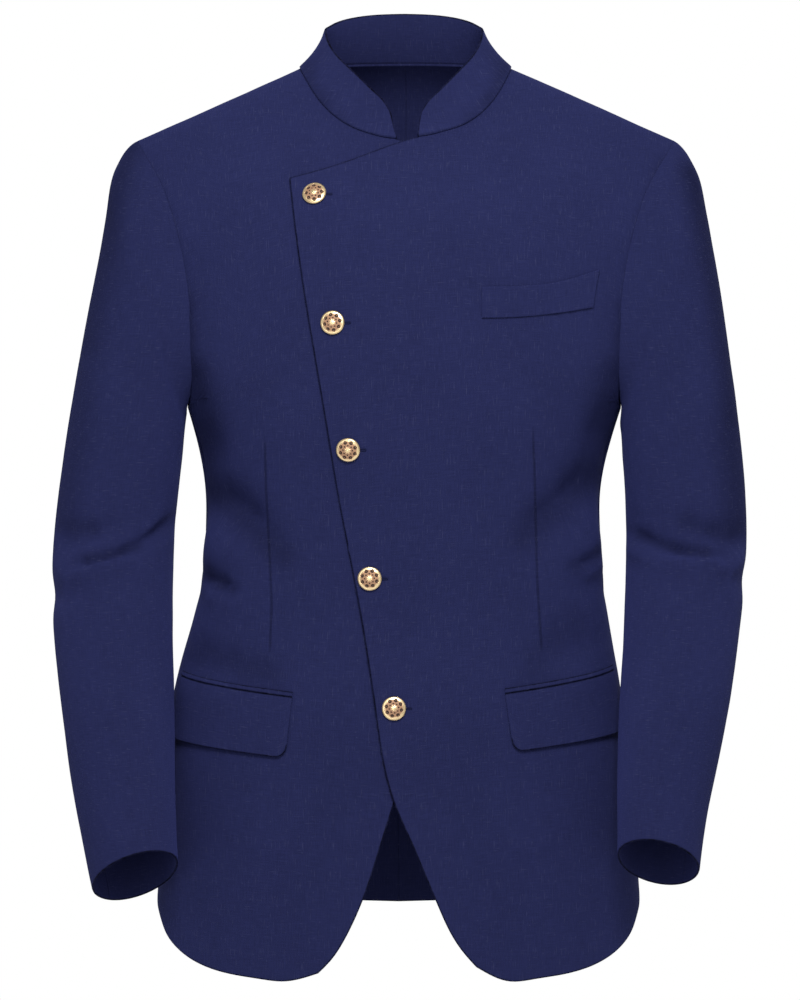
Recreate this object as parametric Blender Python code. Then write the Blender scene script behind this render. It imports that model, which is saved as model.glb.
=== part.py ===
"""A navy bandhgala jacket, worn open-hollow as if on a figure that isn't there.

Metres, +Z up, +X to the wearer's left, the front facing -Y. The origin is the middle of the neck, level with
the shoulder seams' inner ends. Every cloth piece is a wall worked out from one torso form or one sleeve form.
"""

import math

import bmesh
import bpy
import numpy as np
from mathutils import Matrix, Vector

# Cloth and seams
CLOTH = 0.0020
COLLAR_CLOTH = 0.0026
SEAM_GAP = 0.0003
LAP_GAP = 0.0010

# Shoulder line, from the side of the neck to the shoulder point
NECK_HALF_WIDTH = 0.0860
SHOULDER_HALF_WIDTH = 0.2253
NECK_SIDE_HEIGHT = -0.0020
SHOULDER_SLOPE = 0.4446

# The torso form: each height's half width, and its reach in front of and behind the shoulders
SQUARENESS = 2.25
SHOULDER_ROUNDING = {"front": 0.160, "back": 0.060}
TORSO_COLUMNS = ("height", "half_width", "front", "back")
TORSO = (
    (-0.7900, 0.2060, 0.1300, 0.1320),
    (-0.7000, 0.2026, 0.1310, 0.1300),
    (-0.6000, 0.1950, 0.1290, 0.1220),
    (-0.5150, 0.1857, 0.1240, 0.1100),
    (-0.4550, 0.1722, 0.1180, 0.1000),
    (-0.4100, 0.1672, 0.1165, 0.0980),
    (-0.3650, 0.1654, 0.1200, 0.1030),
    (-0.3250, 0.1712, 0.1265, 0.1110),
    (-0.2900, 0.1812, 0.1305, 0.1180),
    (-0.2500, 0.1925, 0.1320, 0.1240),
    (-0.2000, 0.2032, 0.1285, 0.1280),
    (-0.1500, 0.2145, 0.1185, 0.1270),
    (-0.1000, 0.2285, 0.1000, 0.1220),
    (-0.0640, 0.2362, 0.0832, 0.1160),
    (-0.0300, 0.2405, 0.0735, 0.1100),
    (0.0400, 0.2450, 0.0640, 0.1020),
)

# How far the middle of the jacket strays to the wearer's left at each height
SWAY_COLUMNS = ("height", "aside")
SWAY = (
    (-0.7900, -0.0048),
    (-0.6950, -0.0032),
    (-0.5600, -0.0044),
    (-0.5000, -0.0032),
    (-0.4330, 0.0000),
    (-0.3670, 0.0003),
    (-0.3000, 0.0014),
    (-0.0600, 0.0028),
    (-0.0100, 0.0028),
    (0.0250, 0.0013),
    (0.0500, 0.0010),
)

# Neckline: heights at angles from the middle of the front to the side, and its reach behind the shoulders
NECKLINE_COLUMNS = ("angle", "height")
NECKLINE = (
    (0.0, -0.0632),
    (10.0, -0.0620),
    (20.0, -0.0583),
    (29.0, -0.0538),
    (39.5, -0.0463),
    (51.7, -0.0350),
    (63.0, -0.0228),
    (74.0, -0.0116),
    (90.0, -0.0020),
)
NECK_BACK_REACH = 0.0700

# Armhole, from the shoulder point to the armpit: angle round the torso from its middle, and height
ARMHOLE_COLUMNS = ("angle", "height")
ARMHOLE = {
    "front": (
        (67.4, -0.0823),
        (63.5, -0.1016),
        (61.9, -0.1275),
        (61.6, -0.1554),
        (62.1, -0.1854),
        (63.8, -0.2133),
        (68.0, -0.2453),
        (74.3, -0.2669),
        (82.0, -0.2825),
    ),
    "back": (
        (68.5, -0.0823),
        (66.0, -0.1016),
        (65.0, -0.1275),
        (65.0, -0.1554),
        (65.8, -0.1854),
        (67.8, -0.2133),
        (71.5, -0.2453),
        (76.5, -0.2669),
        (83.0, -0.2825),
    ),
}
ARMPIT_HEIGHT = -0.2880
NOTCH_STEP = 6

# Front edges, as (x, z) seen from the front, from the top down to the turn of the hem
OVERLAP_EDGE = (
    (-0.0941, -0.0970),
    (-0.0865, -0.1596),
    (-0.0728, -0.2453),
    (-0.0578, -0.3350),
    (-0.0417, -0.4229),
    (-0.0235, -0.5342),
    (-0.0073, -0.6174),
    (0.0082, -0.6534),
    (0.0189, -0.6791),
    (0.0297, -0.7048),
    (0.0403, -0.7274),
    (0.0511, -0.7434),
    (0.0617, -0.7552),
)
OVERLAP_TOP = ((-0.0941, -0.0970), (-0.0481, -0.0838), (-0.0160, -0.0718), (-0.0017, -0.0668))
UNDERLAP_TOP_MIDDLE = (0.0000, -0.0652)
UNDERLAP_EDGE = (
    (0.0230, -0.0690),
    (0.0230, -0.2000),
    (0.0230, -0.4000),
    (0.0205, -0.5000),
    (0.0080, -0.5700),
    (-0.0071, -0.6187),
    (-0.0213, -0.6641),
    (-0.0300, -0.6909),
    (-0.0386, -0.7123),
    (-0.0492, -0.7337),
    (-0.0600, -0.7498),
    (-0.0706, -0.7605),
)
LAP_FULL_X = 0.0270
LAP_NONE_X = 0.0620

# Hem: angle round the torso from its middle, and height
HEM_COLUMNS = ("angle", "height")
FRONT_HEM = (
    (27.0, -0.7672),
    (34.0, -0.7655),
    (42.0, -0.7620),
    (50.0, -0.7570),
    (58.0, -0.7495),
    (66.0, -0.7395),
    (74.0, -0.7265),
    (81.0, -0.7125),
    (86.0, -0.7045),
)
SIDE_HEM_HEIGHT = -0.6960
BACK_HEM_HEIGHT = -0.7045

# Collar: the ends' angle from the middle of the front, at the seam and at the top, and the top edge's heights
COLLAR_ENDS = {"right": (5.0, 12.0), "left": (6.5, 11.5)}
COLLAR_TOP_HALF_WIDTH = 0.0642
COLLAR_HOLLOW = 0.0020
COLLAR_TOP_REACH = {"front": 0.0615, "back": 0.0600}
COLLAR_TOP_COLUMNS = ("angle", "height")
COLLAR_TOP = (
    (0.0, -0.0470),
    (8.0, -0.0420),
    (11.5, -0.0376),
    (15.7, -0.0318),
    (24.6, -0.0225),
    (37.1, -0.0104),
    (52.8, 0.0020),
    (70.7, 0.0148),
    (82.0, 0.0234),
    (90.0, 0.0286),
    (105.0, 0.0321),
    (120.0, 0.0361),
    (137.5, 0.0402),
    (157.0, 0.0431),
    (180.0, 0.0442),
)
COLLAR_HEIGHT = 0.0400
COLLAR_CORNER = 0.0100
COLLAR_CORNER_DROP = 0.15

# Sleeve rings, from just below the armhole to the cuff. Each row gives the ring's outer and inner point as
# (x, z), its middle's y, its half depth, the angle by which its front is raised, and how much narrower it
# gets towards its outer point.
SLEEVE_COLUMNS = ("outer_x", "outer_z", "inner_x", "inner_z", "middle_y", "half_depth", "pitch", "taper")
SLEEVES = {
    "right": (
        (0.2395, -0.0840, 0.1815, -0.2960, 0.0000, 0.0655, 0.0, 0.15),
        (0.2486, -0.1232, 0.1830, -0.3090, 0.0000, 0.0680, 0.0, 0.11),
        (0.2592, -0.1831, 0.1848, -0.3290, 0.0000, 0.0680, 0.0, 0.06),
        (0.2710, -0.2453, 0.1873, -0.3528, 0.0000, 0.0665, 0.0, 0.02),
        (0.2824, -0.3136, 0.1903, -0.3822, 0.0010, 0.0630, 2.0, 0.00),
        (0.2905, -0.3755, 0.1921, -0.4158, -0.0040, 0.0600, 6.0, 0.00),
        (0.2943, -0.4314, 0.1928, -0.4494, -0.0180, 0.0580, 12.0, 0.00),
        (0.2925, -0.4746, 0.1924, -0.4872, -0.0360, 0.0570, 16.0, 0.00),
        (0.2860, -0.5342, 0.1907, -0.5435, -0.0600, 0.0550, 19.0, 0.00),
        (0.2800, -0.5804, 0.1903, -0.5855, -0.0780, 0.0535, 20.0, 0.00),
        (0.2715, -0.6300, 0.1893, -0.6275, -0.0950, 0.0515, 21.0, 0.00),
        (0.2592, -0.6896, 0.1870, -0.6690, -0.1130, 0.0500, 22.0, 0.00),
    ),
    "left": (
        (0.2437, -0.0840, 0.1822, -0.2960, 0.0000, 0.0655, 0.0, 0.15),
        (0.2552, -0.1232, 0.1835, -0.3090, 0.0000, 0.0680, 0.0, 0.11),
        (0.2658, -0.1831, 0.1848, -0.3290, 0.0000, 0.0680, 0.0, 0.06),
        (0.2750, -0.2453, 0.1863, -0.3528, 0.0000, 0.0665, 0.0, 0.02),
        (0.2838, -0.3136, 0.1874, -0.3822, 0.0000, 0.0630, 2.0, 0.00),
        (0.2886, -0.3755, 0.1877, -0.4158, -0.0070, 0.0600, 6.0, 0.00),
        (0.2879, -0.4260, 0.1866, -0.4480, -0.0230, 0.0580, 12.0, 0.00),
        (0.2825, -0.4746, 0.1846, -0.4872, -0.0440, 0.0570, 16.0, 0.00),
        (0.2738, -0.5342, 0.1812, -0.5400, -0.0740, 0.0550, 19.0, 0.00),
        (0.2648, -0.5804, 0.1796, -0.5830, -0.0920, 0.0535, 20.0, 0.00),
        (0.2552, -0.6250, 0.1793, -0.6200, -0.1070, 0.0515, 21.0, 0.00),
        (0.2482, -0.6740, 0.1792, -0.6620, -0.1220, 0.0500, 22.0, 0.00),
    ),
}
BACK_SEAM_STEP = 6

# Soft troughs in the cloth. On a body panel each runs from one (x, z) to the other, seen from the front.
FOLD_COLUMNS = ("x0", "z0", "x1", "z1", "depth", "width")
BODY_FOLDS = {
    "front": (
        (0.1660, -0.4380, 0.1300, -0.4250, 0.0040, 0.0130),
        (0.1640, -0.3700, 0.1120, -0.3960, 0.0030, 0.0220),
        (0.1740, -0.3020, 0.1420, -0.3400, 0.0030, 0.0240),
    ),
    "back": (
        (0.1640, -0.4100, 0.0900, -0.3950, 0.0035, 0.0160),
        (0.1660, -0.4450, 0.1100, -0.4380, 0.0030, 0.0140),
        (0.1500, -0.1500, 0.1350, -0.2900, 0.0030, 0.0240),
    ),
}
# On a sleeve each runs from one (angle round the ring, height) to the other.
SLEEVE_FOLDS = {
    "right": (
        (100.0, -0.4180, 165.0, -0.3850, 0.0060, 0.0120),
        (35.0, -0.4020, 100.0, -0.3900, 0.0040, 0.0120),
        (-20.0, -0.4480, 35.0, -0.4400, 0.0030, 0.0140),
        (200.0, -0.3950, 260.0, -0.4150, 0.0050, 0.0130),
    ),
    "left": (
        (70.0, -0.4140, 150.0, -0.3860, 0.0060, 0.0120),
        (15.0, -0.4020, 75.0, -0.3880, 0.0040, 0.0120),
        (-20.0, -0.4330, 35.0, -0.4300, 0.0030, 0.0140),
        (200.0, -0.3950, 260.0, -0.4150, 0.0050, 0.0130),
    ),
}

SLEEVE_CLEARANCE = 0.0045
SLEEVE_LAP = 0.0018

# Chest pocket welt and hip pockets, as (x, z) seen from the front
WELT_TOP = ((0.0663, -0.1875), (0.1036, -0.1865), (0.1233, -0.1845), (0.1640, -0.1729))
WELT_BOTTOM = ((0.0659, -0.2136), (0.0873, -0.2132), (0.1164, -0.2110), (0.1593, -0.2046))
WELT_CLOTH = 0.0018
WELT_COLUMNS = 12
WELT_ROWS = 5
FLAP_COLUMNS = ("top_x", "top_z", "bottom_x", "bottom_z", "side_top_z", "side_bottom_z")
FLAPS = {
    "right": (-0.0916, -0.5304, -0.0964, -0.5810, -0.5130, -0.5650),
    "left": (0.0850, -0.5275, 0.0910, -0.5760, -0.5080, -0.5590),
}
FLAP_LENGTH = 0.1500
FLAP_SIDE_ANGLE = 76.0
FLAP_SHARES = (0, 0.012, 0.036, 0.075, 0.14, 0.24, 0.35, 0.46, 0.57, 0.68, 0.79, 0.90, 1.0)
FLAP_ROWS = 6
FLAP_CORNER = 0.0110
FLAP_CLOTH = 0.0018
JET_HEIGHT = 0.0042
JET_CLOTH = 0.0014
PATCH_GAP = 0.0005

# Buttons, down the overlap
BUTTON_PLACES = (
    (-0.0730, -0.1112),
    (-0.0578, -0.2177),
    (-0.0448, -0.3231),
    (-0.0271, -0.4312),
    (-0.0071, -0.5396),
)
BUTTON_RADIUS = 0.0100
BUTTON_SHANK_RADIUS = 0.0009
BUTTON_RIM = 0.0012
BUTTON_DOME = 0.0030
BUTTON_STAND = 0.0008
BUTTON_SIDES = 24
BUTTONHOLE_LENGTH = 0.0185
BUTTONHOLE_WIDTH = 0.0024
BUTTONHOLE_BEHIND = 0.0025
BUTTONHOLE_CUT_DEPTH = 0.0120

# How finely the pieces are divided
SIDE_STEPS = 16
ARMHOLE_STEPS = 14
FRONT_STEPS = 10
LAP_STEPS = 6
BACK_NECK_STEPS = 6
SLEEVE_STEPS = 24
COLLAR_STEPS = 4
EDGE_SAMPLES = 2001
ARMHOLE_CROWDING = 1.5
SLEEVE_CROWDING = 1.35
SLEEVE_TO_BODY_ANGLES = (75, 285)

# Metres that one degree stands for, near enough to space steps and to measure folds
TORSO_DEGREE = 0.0032
SLEEVE_DEGREE = 0.0011

NAVY = (0.024, 0.029, 0.095, 1.0)
GOLD = (0.72, 0.50, 0.24, 1.0)


class Spline:
    """A natural cubic spline through values at rising knots. Past its ends it keeps its end values."""

    def __init__(self, knots, values):
        self.knots = np.array(knots, float)
        self.values = np.array(values, float)
        gaps = np.diff(self.knots)
        count = len(self.knots)
        slopes = np.diff(self.values, axis=0) / gaps.reshape(-1, *[1] * (self.values.ndim - 1))
        system = np.eye(count)
        right = np.zeros_like(self.values)
        for i in range(1, count - 1):
            system[i, i - 1 : i + 2] = gaps[i - 1], 2 * (gaps[i - 1] + gaps[i]), gaps[i]
            right[i] = 6 * (slopes[i] - slopes[i - 1])
        bends = np.linalg.solve(system, right.reshape(count, -1))
        self.bends = bends.reshape(self.values.shape)

    def __call__(self, at):
        at = np.clip(np.asarray(at, float), self.knots[0], self.knots[-1])
        left = np.clip(np.searchsorted(self.knots, at) - 1, 0, len(self.knots) - 2)
        gap = self.knots[left + 1] - self.knots[left]
        share = (at - self.knots[left]) / gap
        shape = np.shape(at) + (1,) * (self.values.ndim - 1)
        gap, share = np.reshape(gap, shape), np.reshape(share, shape)
        ends = self.values[left] * (1 - share) + self.values[left + 1] * share
        before = self.bends[left] * ((1 - share) ** 3 - (1 - share))
        after = self.bends[left + 1] * (share**3 - share)
        return ends + gap**2 / 6 * (before + after)


def through(points):
    """A smooth path through points, from 0 at the first to 1 at the last, even in length."""
    points = np.array(points, float)
    steps = np.linalg.norm(np.diff(points, axis=0), axis=1)
    lengths = np.concatenate([[0], np.cumsum(steps)])
    return Spline(lengths / lengths[-1], points)


def column(table, names, name):
    """One named column of a table."""
    return [row[names.index(name)] for row in table]


def torso_spline(name):
    return Spline(column(TORSO, TORSO_COLUMNS, "height"), column(TORSO, TORSO_COLUMNS, name))


half_width = torso_spline("half_width")
sway = Spline(column(SWAY, SWAY_COLUMNS, "height"), column(SWAY, SWAY_COLUMNS, "aside"))
reach = {"front": torso_spline("front"), "back": torso_spline("back")}
facing = {"front": -1.0, "back": 1.0}


def shoulder_height(x):
    """Height of the shoulder line over x: straight, and rounded across the neck."""
    x = np.abs(x)
    across_neck = (NECK_HALF_WIDTH**2 - np.minimum(x, NECK_HALF_WIDTH) ** 2) / (2 * NECK_HALF_WIDTH)
    return NECK_SIDE_HEIGHT + SHOULDER_SLOPE * (across_neck - np.maximum(x - NECK_HALF_WIDTH, 0))


def squared_depth(side, x, z):
    """The square of how far the torso form lies in front of or behind the shoulder line."""
    across = np.clip(1 - np.abs(x / half_width(z)) ** SQUARENESS, 0, None) ** (2 / SQUARENESS)
    below = (shoulder_height(x) - z) / SHOULDER_ROUNDING[side]
    rounded = 1 - np.clip(1 - below, 0, None) ** 2
    return reach[side](z) ** 2 * across * rounded


def torso_normal(side, x, y, z):
    """The outward direction of the torso form at a point on it."""
    step = 1e-4
    limit = 0.9995 * half_width(z)
    inside = np.clip(x, -limit, limit)
    slope_x = squared_depth(side, inside + step, z) - squared_depth(side, inside - step, z)
    slope_z = squared_depth(side, inside, z + step) - squared_depth(side, inside, z - step)
    normal = np.stack([-slope_x, 4 * step * y, -slope_z], axis=-1)
    return normal / np.linalg.norm(normal, axis=-1, keepdims=True)


def trough(at, start, end, depth, width):
    """How deep a soft trough from start to end is at points, all in metres."""
    start, end = np.array(start), np.array(end)
    along = end - start
    share = np.clip(((at - start) @ along) / (along @ along), 0, 1)
    away = np.linalg.norm(at - (start + share[..., None] * along), axis=-1)
    return depth * np.exp(-((away / width) ** 2)) * (0.35 + 0.65 * np.sin(math.pi * share))


def form_excess(points):
    """How far points are outside the torso form, as a share that is 0 on it."""
    x, y, z = points[..., 0] - sway(points[..., 2]), points[..., 1], points[..., 2]
    excess = np.zeros(x.shape)
    for side, here in (("front", y <= 0), ("back", y > 0)):
        below = np.clip((shoulder_height(x) - z) / SHOULDER_ROUNDING[side], 0.001, 1)
        depth = reach[side](z) * np.sqrt(1 - (1 - below) ** 2)
        value = np.abs(x / half_width(z)) ** SQUARENESS + np.abs(y / depth) ** SQUARENESS - 1
        excess = np.where(here, value, excess)
    return excess


def kept_clear(points, clearance):
    """The points, with those nearer to the torso form than the clearance moved straight away from it."""
    step = 1e-4
    for _ in range(3):
        rises = [form_excess(points + step * axis) - form_excess(points - step * axis) for axis in np.eye(3)]
        slope = np.stack(rises, axis=-1) / (2 * step)
        steepness = np.linalg.norm(slope, axis=-1)
        short = np.clip(clearance - form_excess(points) / steepness, 0, None)
        points = points + slope / steepness[..., None] * short[..., None]
    return points


def body_relief(side, x, z):
    """The depth of the body's folds at (x, z), the same on the left and the right."""
    at = np.stack([np.abs(x), z], axis=-1)
    return sum(trough(at, f[0:2], f[2:4], f[4], f[5]) for f in BODY_FOLDS[side])


def torso_point(side, hand, angle, z, lift=0.0):
    """Points on the torso's surface at angles from its middle, and heights, and the normals there.

    hand is 1 on the wearer's left and -1 on the right. The points are moved out by lift.
    """
    x = half_width(z) * np.sin(np.radians(angle))
    y = facing[side] * np.sqrt(np.clip(squared_depth(side, x, z), 0, None))
    normal = torso_normal(side, x, y, z)
    point = np.stack([x, y, z + 0 * x], axis=-1)
    point = point + normal * np.asarray(lift - body_relief(side, x, z))[..., None]
    point[..., 0] = hand * point[..., 0] + sway(z)
    normal[..., 0] *= hand
    return point, normal


def angle_of(x, z):
    """The angle round the torso of a place as far as x from its middle."""
    return np.degrees(np.arcsin(np.clip(x / half_width(z), -1, 1)))


def to_angles(points):
    """(angle, height) of (x, z) places, with x from the torso's middle."""
    points = np.array(points, float)
    return np.stack([angle_of(points[:, 0], points[:, 1]), points[:, 1]], axis=-1)


def seen(points, hand=1):
    """(x, z) places seen from the front, with x measured from the torso's middle towards the hand instead."""
    return [(hand * (x - float(sway(z))), z) for x, z in points]


neckline = Spline(column(NECKLINE, NECKLINE_COLUMNS, "angle"), column(NECKLINE, NECKLINE_COLUMNS, "height"))


def neck_place(angle):
    """(x, z) of the neckline at an angle from the middle of the front, up to 180 at the back."""
    x = NECK_HALF_WIDTH * math.sin(math.radians(angle))
    if angle <= 90:
        return x, float(neckline(angle))
    depth = NECK_BACK_REACH * math.cos(math.radians(angle))
    low, high = -0.12, float(shoulder_height(x))
    for _ in range(40):
        middle = (low + high) / 2
        if squared_depth("back", x, middle) > depth**2:
            low = middle
        else:
            high = middle
    return x, low


def armhole_path(side):
    """The armhole from the shoulder point, at 0, to the armpit, at 1, as (angle, height)."""
    top = float(shoulder_height(SHOULDER_HALF_WIDTH))
    rows = [(float(angle_of(SHOULDER_HALF_WIDTH, top)), top), *ARMHOLE[side], (90.0, ARMPIT_HEIGHT)]
    path = through([(angle * TORSO_DEGREE, height) for angle, height in rows])
    return lambda share: path(share) / np.array([TORSO_DEGREE, 1.0])


armhole = {"front": armhole_path("front"), "back": armhole_path("back")}


def armhole_shares(count=ARMHOLE_STEPS):
    """Places along the armhole at which its steps lie, closer together near the shoulder."""
    return np.linspace(0, 1, count + 1) ** ARMHOLE_CROWDING


def side_seam_heights():
    return np.linspace(SIDE_HEM_HEIGHT, ARMPIT_HEIGHT, SIDE_STEPS + 1)


def coons(bottom, top, inner, outer):
    """Fills the space between four edges with an even grid of points. Each edge is a list of points."""
    bottom, top, inner, outer = (np.array(edge, float) for edge in (bottom, top, inner, outer))
    across = np.linspace(0, 1, len(bottom))[:, None, None]
    up = np.linspace(0, 1, len(inner))[None, :, None]
    ruled = bottom[:, None] * (1 - up) + top[:, None] * up + inner[None] * (1 - across) + outer[None] * across
    near_corners = bottom[0] * (1 - up) + top[0] * up
    far_corners = bottom[-1] * (1 - up) + top[-1] * up
    return ruled - near_corners * (1 - across) - far_corners * across


def resample(path, count):
    return path(np.linspace(0, 1, count + 1))


def shoulder_places(count):
    """(angle, height) along the shoulder seam, from the neck to the shoulder point."""
    x = np.linspace(NECK_HALF_WIDTH, SHOULDER_HALF_WIDTH, count + 1)
    return to_angles(np.stack([x, shoulder_height(x)], axis=-1))


def make_material(name, colour, roughness, metallic=0.0):
    material = bpy.data.materials.new(name)
    material.use_nodes = True
    shader = material.node_tree.nodes["Principled BSDF"]
    shader.inputs["Base Color"].default_value = colour
    shader.inputs["Roughness"].default_value = roughness
    shader.inputs["Metallic"].default_value = metallic
    material.diffuse_color = colour
    return material


def add_object(name, mesh, material):
    mesh.materials.append(material)
    piece = bpy.data.objects.new(name, mesh)
    jacket.objects.link(piece)
    return piece


def cloth_wall(name, outer, inner, material, left_out=lambda i, j: False):
    """A closed wall of cloth between two grids of points, without the cells that are left out."""
    columns, rows = outer.shape[0] - 1, outer.shape[1] - 1
    grid = bmesh.new()
    bmesh.ops.create_grid(grid, x_segments=columns, y_segments=rows, size=1.0)
    low = min(v.co.x for v in grid.verts)

    def address(place):
        return round((place.x - low) / (-2 * low) * columns), round((place.y - low) / (-2 * low) * rows)

    gone = []
    for face in grid.faces:
        corner = [address(v.co) for v in face.verts]
        if left_out(min(i for i, _ in corner), min(j for _, j in corner)):
            gone.append(face)
    bmesh.ops.delete(grid, geom=gone, context="FACES")
    outside = set(grid.verts)
    bmesh.ops.extrude_face_region(grid, geom=grid.faces[:], use_keep_orig=True)
    places = {v: address(v.co) for v in grid.verts}
    for v, (i, j) in places.items():
        v.co = outer[i, j] if v in outside else inner[i, j]
    bmesh.ops.recalc_face_normals(grid, faces=grid.faces[:])
    mesh = bpy.data.meshes.new(name)
    grid.to_mesh(mesh)
    grid.free()
    mesh.shade_smooth()
    mesh.set_sharp_from_angle(angle=math.radians(40))
    return add_object(name, mesh, material)


def body_panel(name, side, hand, places, lift=0.0, left_out=lambda i, j: False):
    """A body panel over (angle, height) places. hand is 1 on the wearer's left and -1 on the right."""
    outer, normal = torso_point(side, hand, places[..., 0], places[..., 1], lift)
    inner = outer - normal * CLOTH
    on_seam = np.abs(outer[..., 1]) < 1e-3
    for grid in (outer, inner):
        grid[..., 1] += np.where(on_seam, facing[side] * SEAM_GAP / 2, 0.0)
    if side == "back":
        for grid in (outer, inner):
            grid[0, :, 0] += hand * SEAM_GAP / 2
    return cloth_wall(name, outer, inner, navy, left_out)


def front_places(edge_points, top_points, neck_angle):
    """(angle, height) places of a front, from its free edge to the side seam, and from hem to shoulder."""
    edge = through(edge_points)
    turn = edge_points[-1]
    heights = side_seam_heights()
    arm = armhole["front"](armhole_shares())[::-1]
    outer = np.concatenate([np.stack([np.full(SIDE_STEPS, 90.0), heights[:-1]], axis=-1), arm])
    lap_rows = SIDE_STEPS + ARMHOLE_STEPS - NOTCH_STEP
    top_height = edge_points[0][1]
    share = np.linspace(0, 1, lap_rows + 1)
    lower_shift = turn[1] - outer[0, 1]
    upper_shift = top_height - outer[lap_rows, 1]
    wanted = outer[: lap_rows + 1, 1] + lower_shift * (1 - share) + upper_shift * share
    samples = edge(np.linspace(0, 1, EDGE_SAMPLES))
    order = np.argsort(samples[:, 1])
    x_at = np.interp(wanted, samples[order, 1], samples[order, 0])
    inner = to_angles(np.stack([x_at, wanted], axis=-1))

    hem_rows = [tuple(to_angles([turn])[0]), *FRONT_HEM, (90.0, SIDE_HEM_HEIGHT)]
    hem = through([(angle * TORSO_DEGREE, height) for angle, height in hem_rows])
    columns = LAP_STEPS + FRONT_STEPS
    bottom = resample(hem, columns) / np.array([TORSO_DEGREE, 1.0])
    notch = neck_place(neck_angle)
    lap_top = to_angles(resample(through([*top_points, notch]), LAP_STEPS))
    rest = np.linspace(lap_top[-1], outer[lap_rows], FRONT_STEPS + 1)
    lower = coons(bottom, np.concatenate([lap_top, rest[1:]]), inner, outer[: lap_rows + 1])

    neck_angles = np.linspace(neck_angle, 90, NOTCH_STEP + 1)
    neckline = to_angles([neck_place(angle) for angle in neck_angles])
    upper = coons(rest, shoulder_places(FRONT_STEPS), neckline, outer[lap_rows:])
    places = np.zeros((columns + 1, SIDE_STEPS + ARMHOLE_STEPS + 1, 2))
    places[:, : lap_rows + 1] = lower
    places[LAP_STEPS:, lap_rows:] = upper
    places[:LAP_STEPS, lap_rows + 1 :] = lower[:LAP_STEPS, -1:]
    return places, lambda i, j: i < LAP_STEPS and j >= lap_rows


def lap_lift(x):
    """How far the overlapping front stands out over the other one."""
    share = np.clip((LAP_NONE_X - x) / (LAP_NONE_X - LAP_FULL_X), 0, 1)
    return (CLOTH + LAP_GAP) * share**2 * (3 - 2 * share)


def make_fronts():
    """The wearer's left front, which laps over the right one to a slanting edge, and the right front."""
    places, left_out = front_places(seen(OVERLAP_EDGE), seen(OVERLAP_TOP), COLLAR_ENDS["left"][0])
    x = half_width(places[..., 1]) * np.sin(np.radians(places[..., 0]))
    front_left = body_panel("front_left", "front", 1, places, lap_lift(x), left_out)

    edge = seen(UNDERLAP_EDGE, hand=-1)
    places, left_out = front_places(edge, [edge[0], UNDERLAP_TOP_MIDDLE], COLLAR_ENDS["right"][0])
    body_panel("front_right", "front", -1, places, 0.0, left_out)
    return front_left


def back_places():
    """(angle, height) places of one back, from its middle to the side seam, and from hem to shoulder."""
    heights = side_seam_heights()
    arm = armhole["back"](armhole_shares())[::-1]
    outer = np.concatenate([np.stack([np.full(SIDE_STEPS, 90.0), heights[:-1]], axis=-1), arm])
    neck = to_angles([neck_place(angle) for angle in np.linspace(180, 90, BACK_NECK_STEPS + 1)])
    top = np.concatenate([neck, shoulder_places(FRONT_STEPS)[1:]])
    hem_angles = np.linspace(0, 90, len(top))
    bottom = np.stack([hem_angles, np.full(len(top), BACK_HEM_HEIGHT)], axis=-1)
    rise = (outer[:, 1] - outer[0, 1]) / (outer[-1, 1] - outer[0, 1])
    inner = np.stack([np.zeros(len(outer)), BACK_HEM_HEIGHT + rise * (neck[0, 1] - BACK_HEM_HEIGHT)], axis=-1)
    return coons(bottom, top, inner, outer)


def make_backs():
    """Two backs that meet in a seam down the middle."""
    for name, hand in (("back_left", 1), ("back_right", -1)):
        body_panel(name, "back", hand, back_places())


def armhole_ring(hand):
    """The armhole's points and normals, from the shoulder point down the front and up the back."""
    shares = armhole_shares()
    points, normals = [], []
    for side, along in (("front", shares), ("back", shares[::-1][1:-1])):
        places = armhole[side](along)
        point, normal = torso_point(side, hand, places[:, 0], places[:, 1])
        points.append(point)
        normals.append(normal)
    return np.concatenate(points), np.concatenate(normals)


def ring_angles():
    """Angles round the sleeve that go with the armhole's points: 0 outside, 90 in front, 180 inside."""
    shares = armhole_shares()
    return np.concatenate([180 * shares, 360 - 180 * shares[::-1][1:-1]])


def sleeve_ring(row, hand, angles):
    value = dict(zip(SLEEVE_COLUMNS, row))
    outer = np.array([hand * value["outer_x"], value["middle_y"], value["outer_z"]])
    inner = np.array([hand * value["inner_x"], value["middle_y"], value["inner_z"]])
    pitch = math.radians(value["pitch"])
    front = value["half_depth"] * np.array([0.0, -math.cos(pitch), math.sin(pitch)])
    turn = np.radians(angles)[:, None]
    depth = np.sin(turn) * (1 - value["taper"] * np.cos(turn))
    return (outer + inner) / 2 + np.cos(turn) * (outer - inner) / 2 + depth * front


def sleeve_relief(hand_name, angles, points):
    """The depth of the sleeve's folds at its points."""
    depth = np.zeros(points.shape[:-1])
    for f in SLEEVE_FOLDS[hand_name]:
        for turn in (-360, 0, 360):
            around = (angles[:, None] + turn) * SLEEVE_DEGREE + 0 * points[..., 2]
            at = np.stack([around, points[..., 2]], axis=-1)
            depth += trough(at, (f[0] * SLEEVE_DEGREE, f[1]), (f[2] * SLEEVE_DEGREE, f[3]), f[4], f[5])
    return depth


def across_grid(grid, wrap):
    """Differences between neighbours round the ring and along the sleeve."""
    if wrap:
        round_it = np.roll(grid, -1, axis=0) - np.roll(grid, 1, axis=0)
    else:
        round_it = np.gradient(grid, axis=0)
    return round_it, np.gradient(grid, axis=1)


def unit(vectors):
    return vectors / np.linalg.norm(vectors, axis=-1, keepdims=True)


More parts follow.
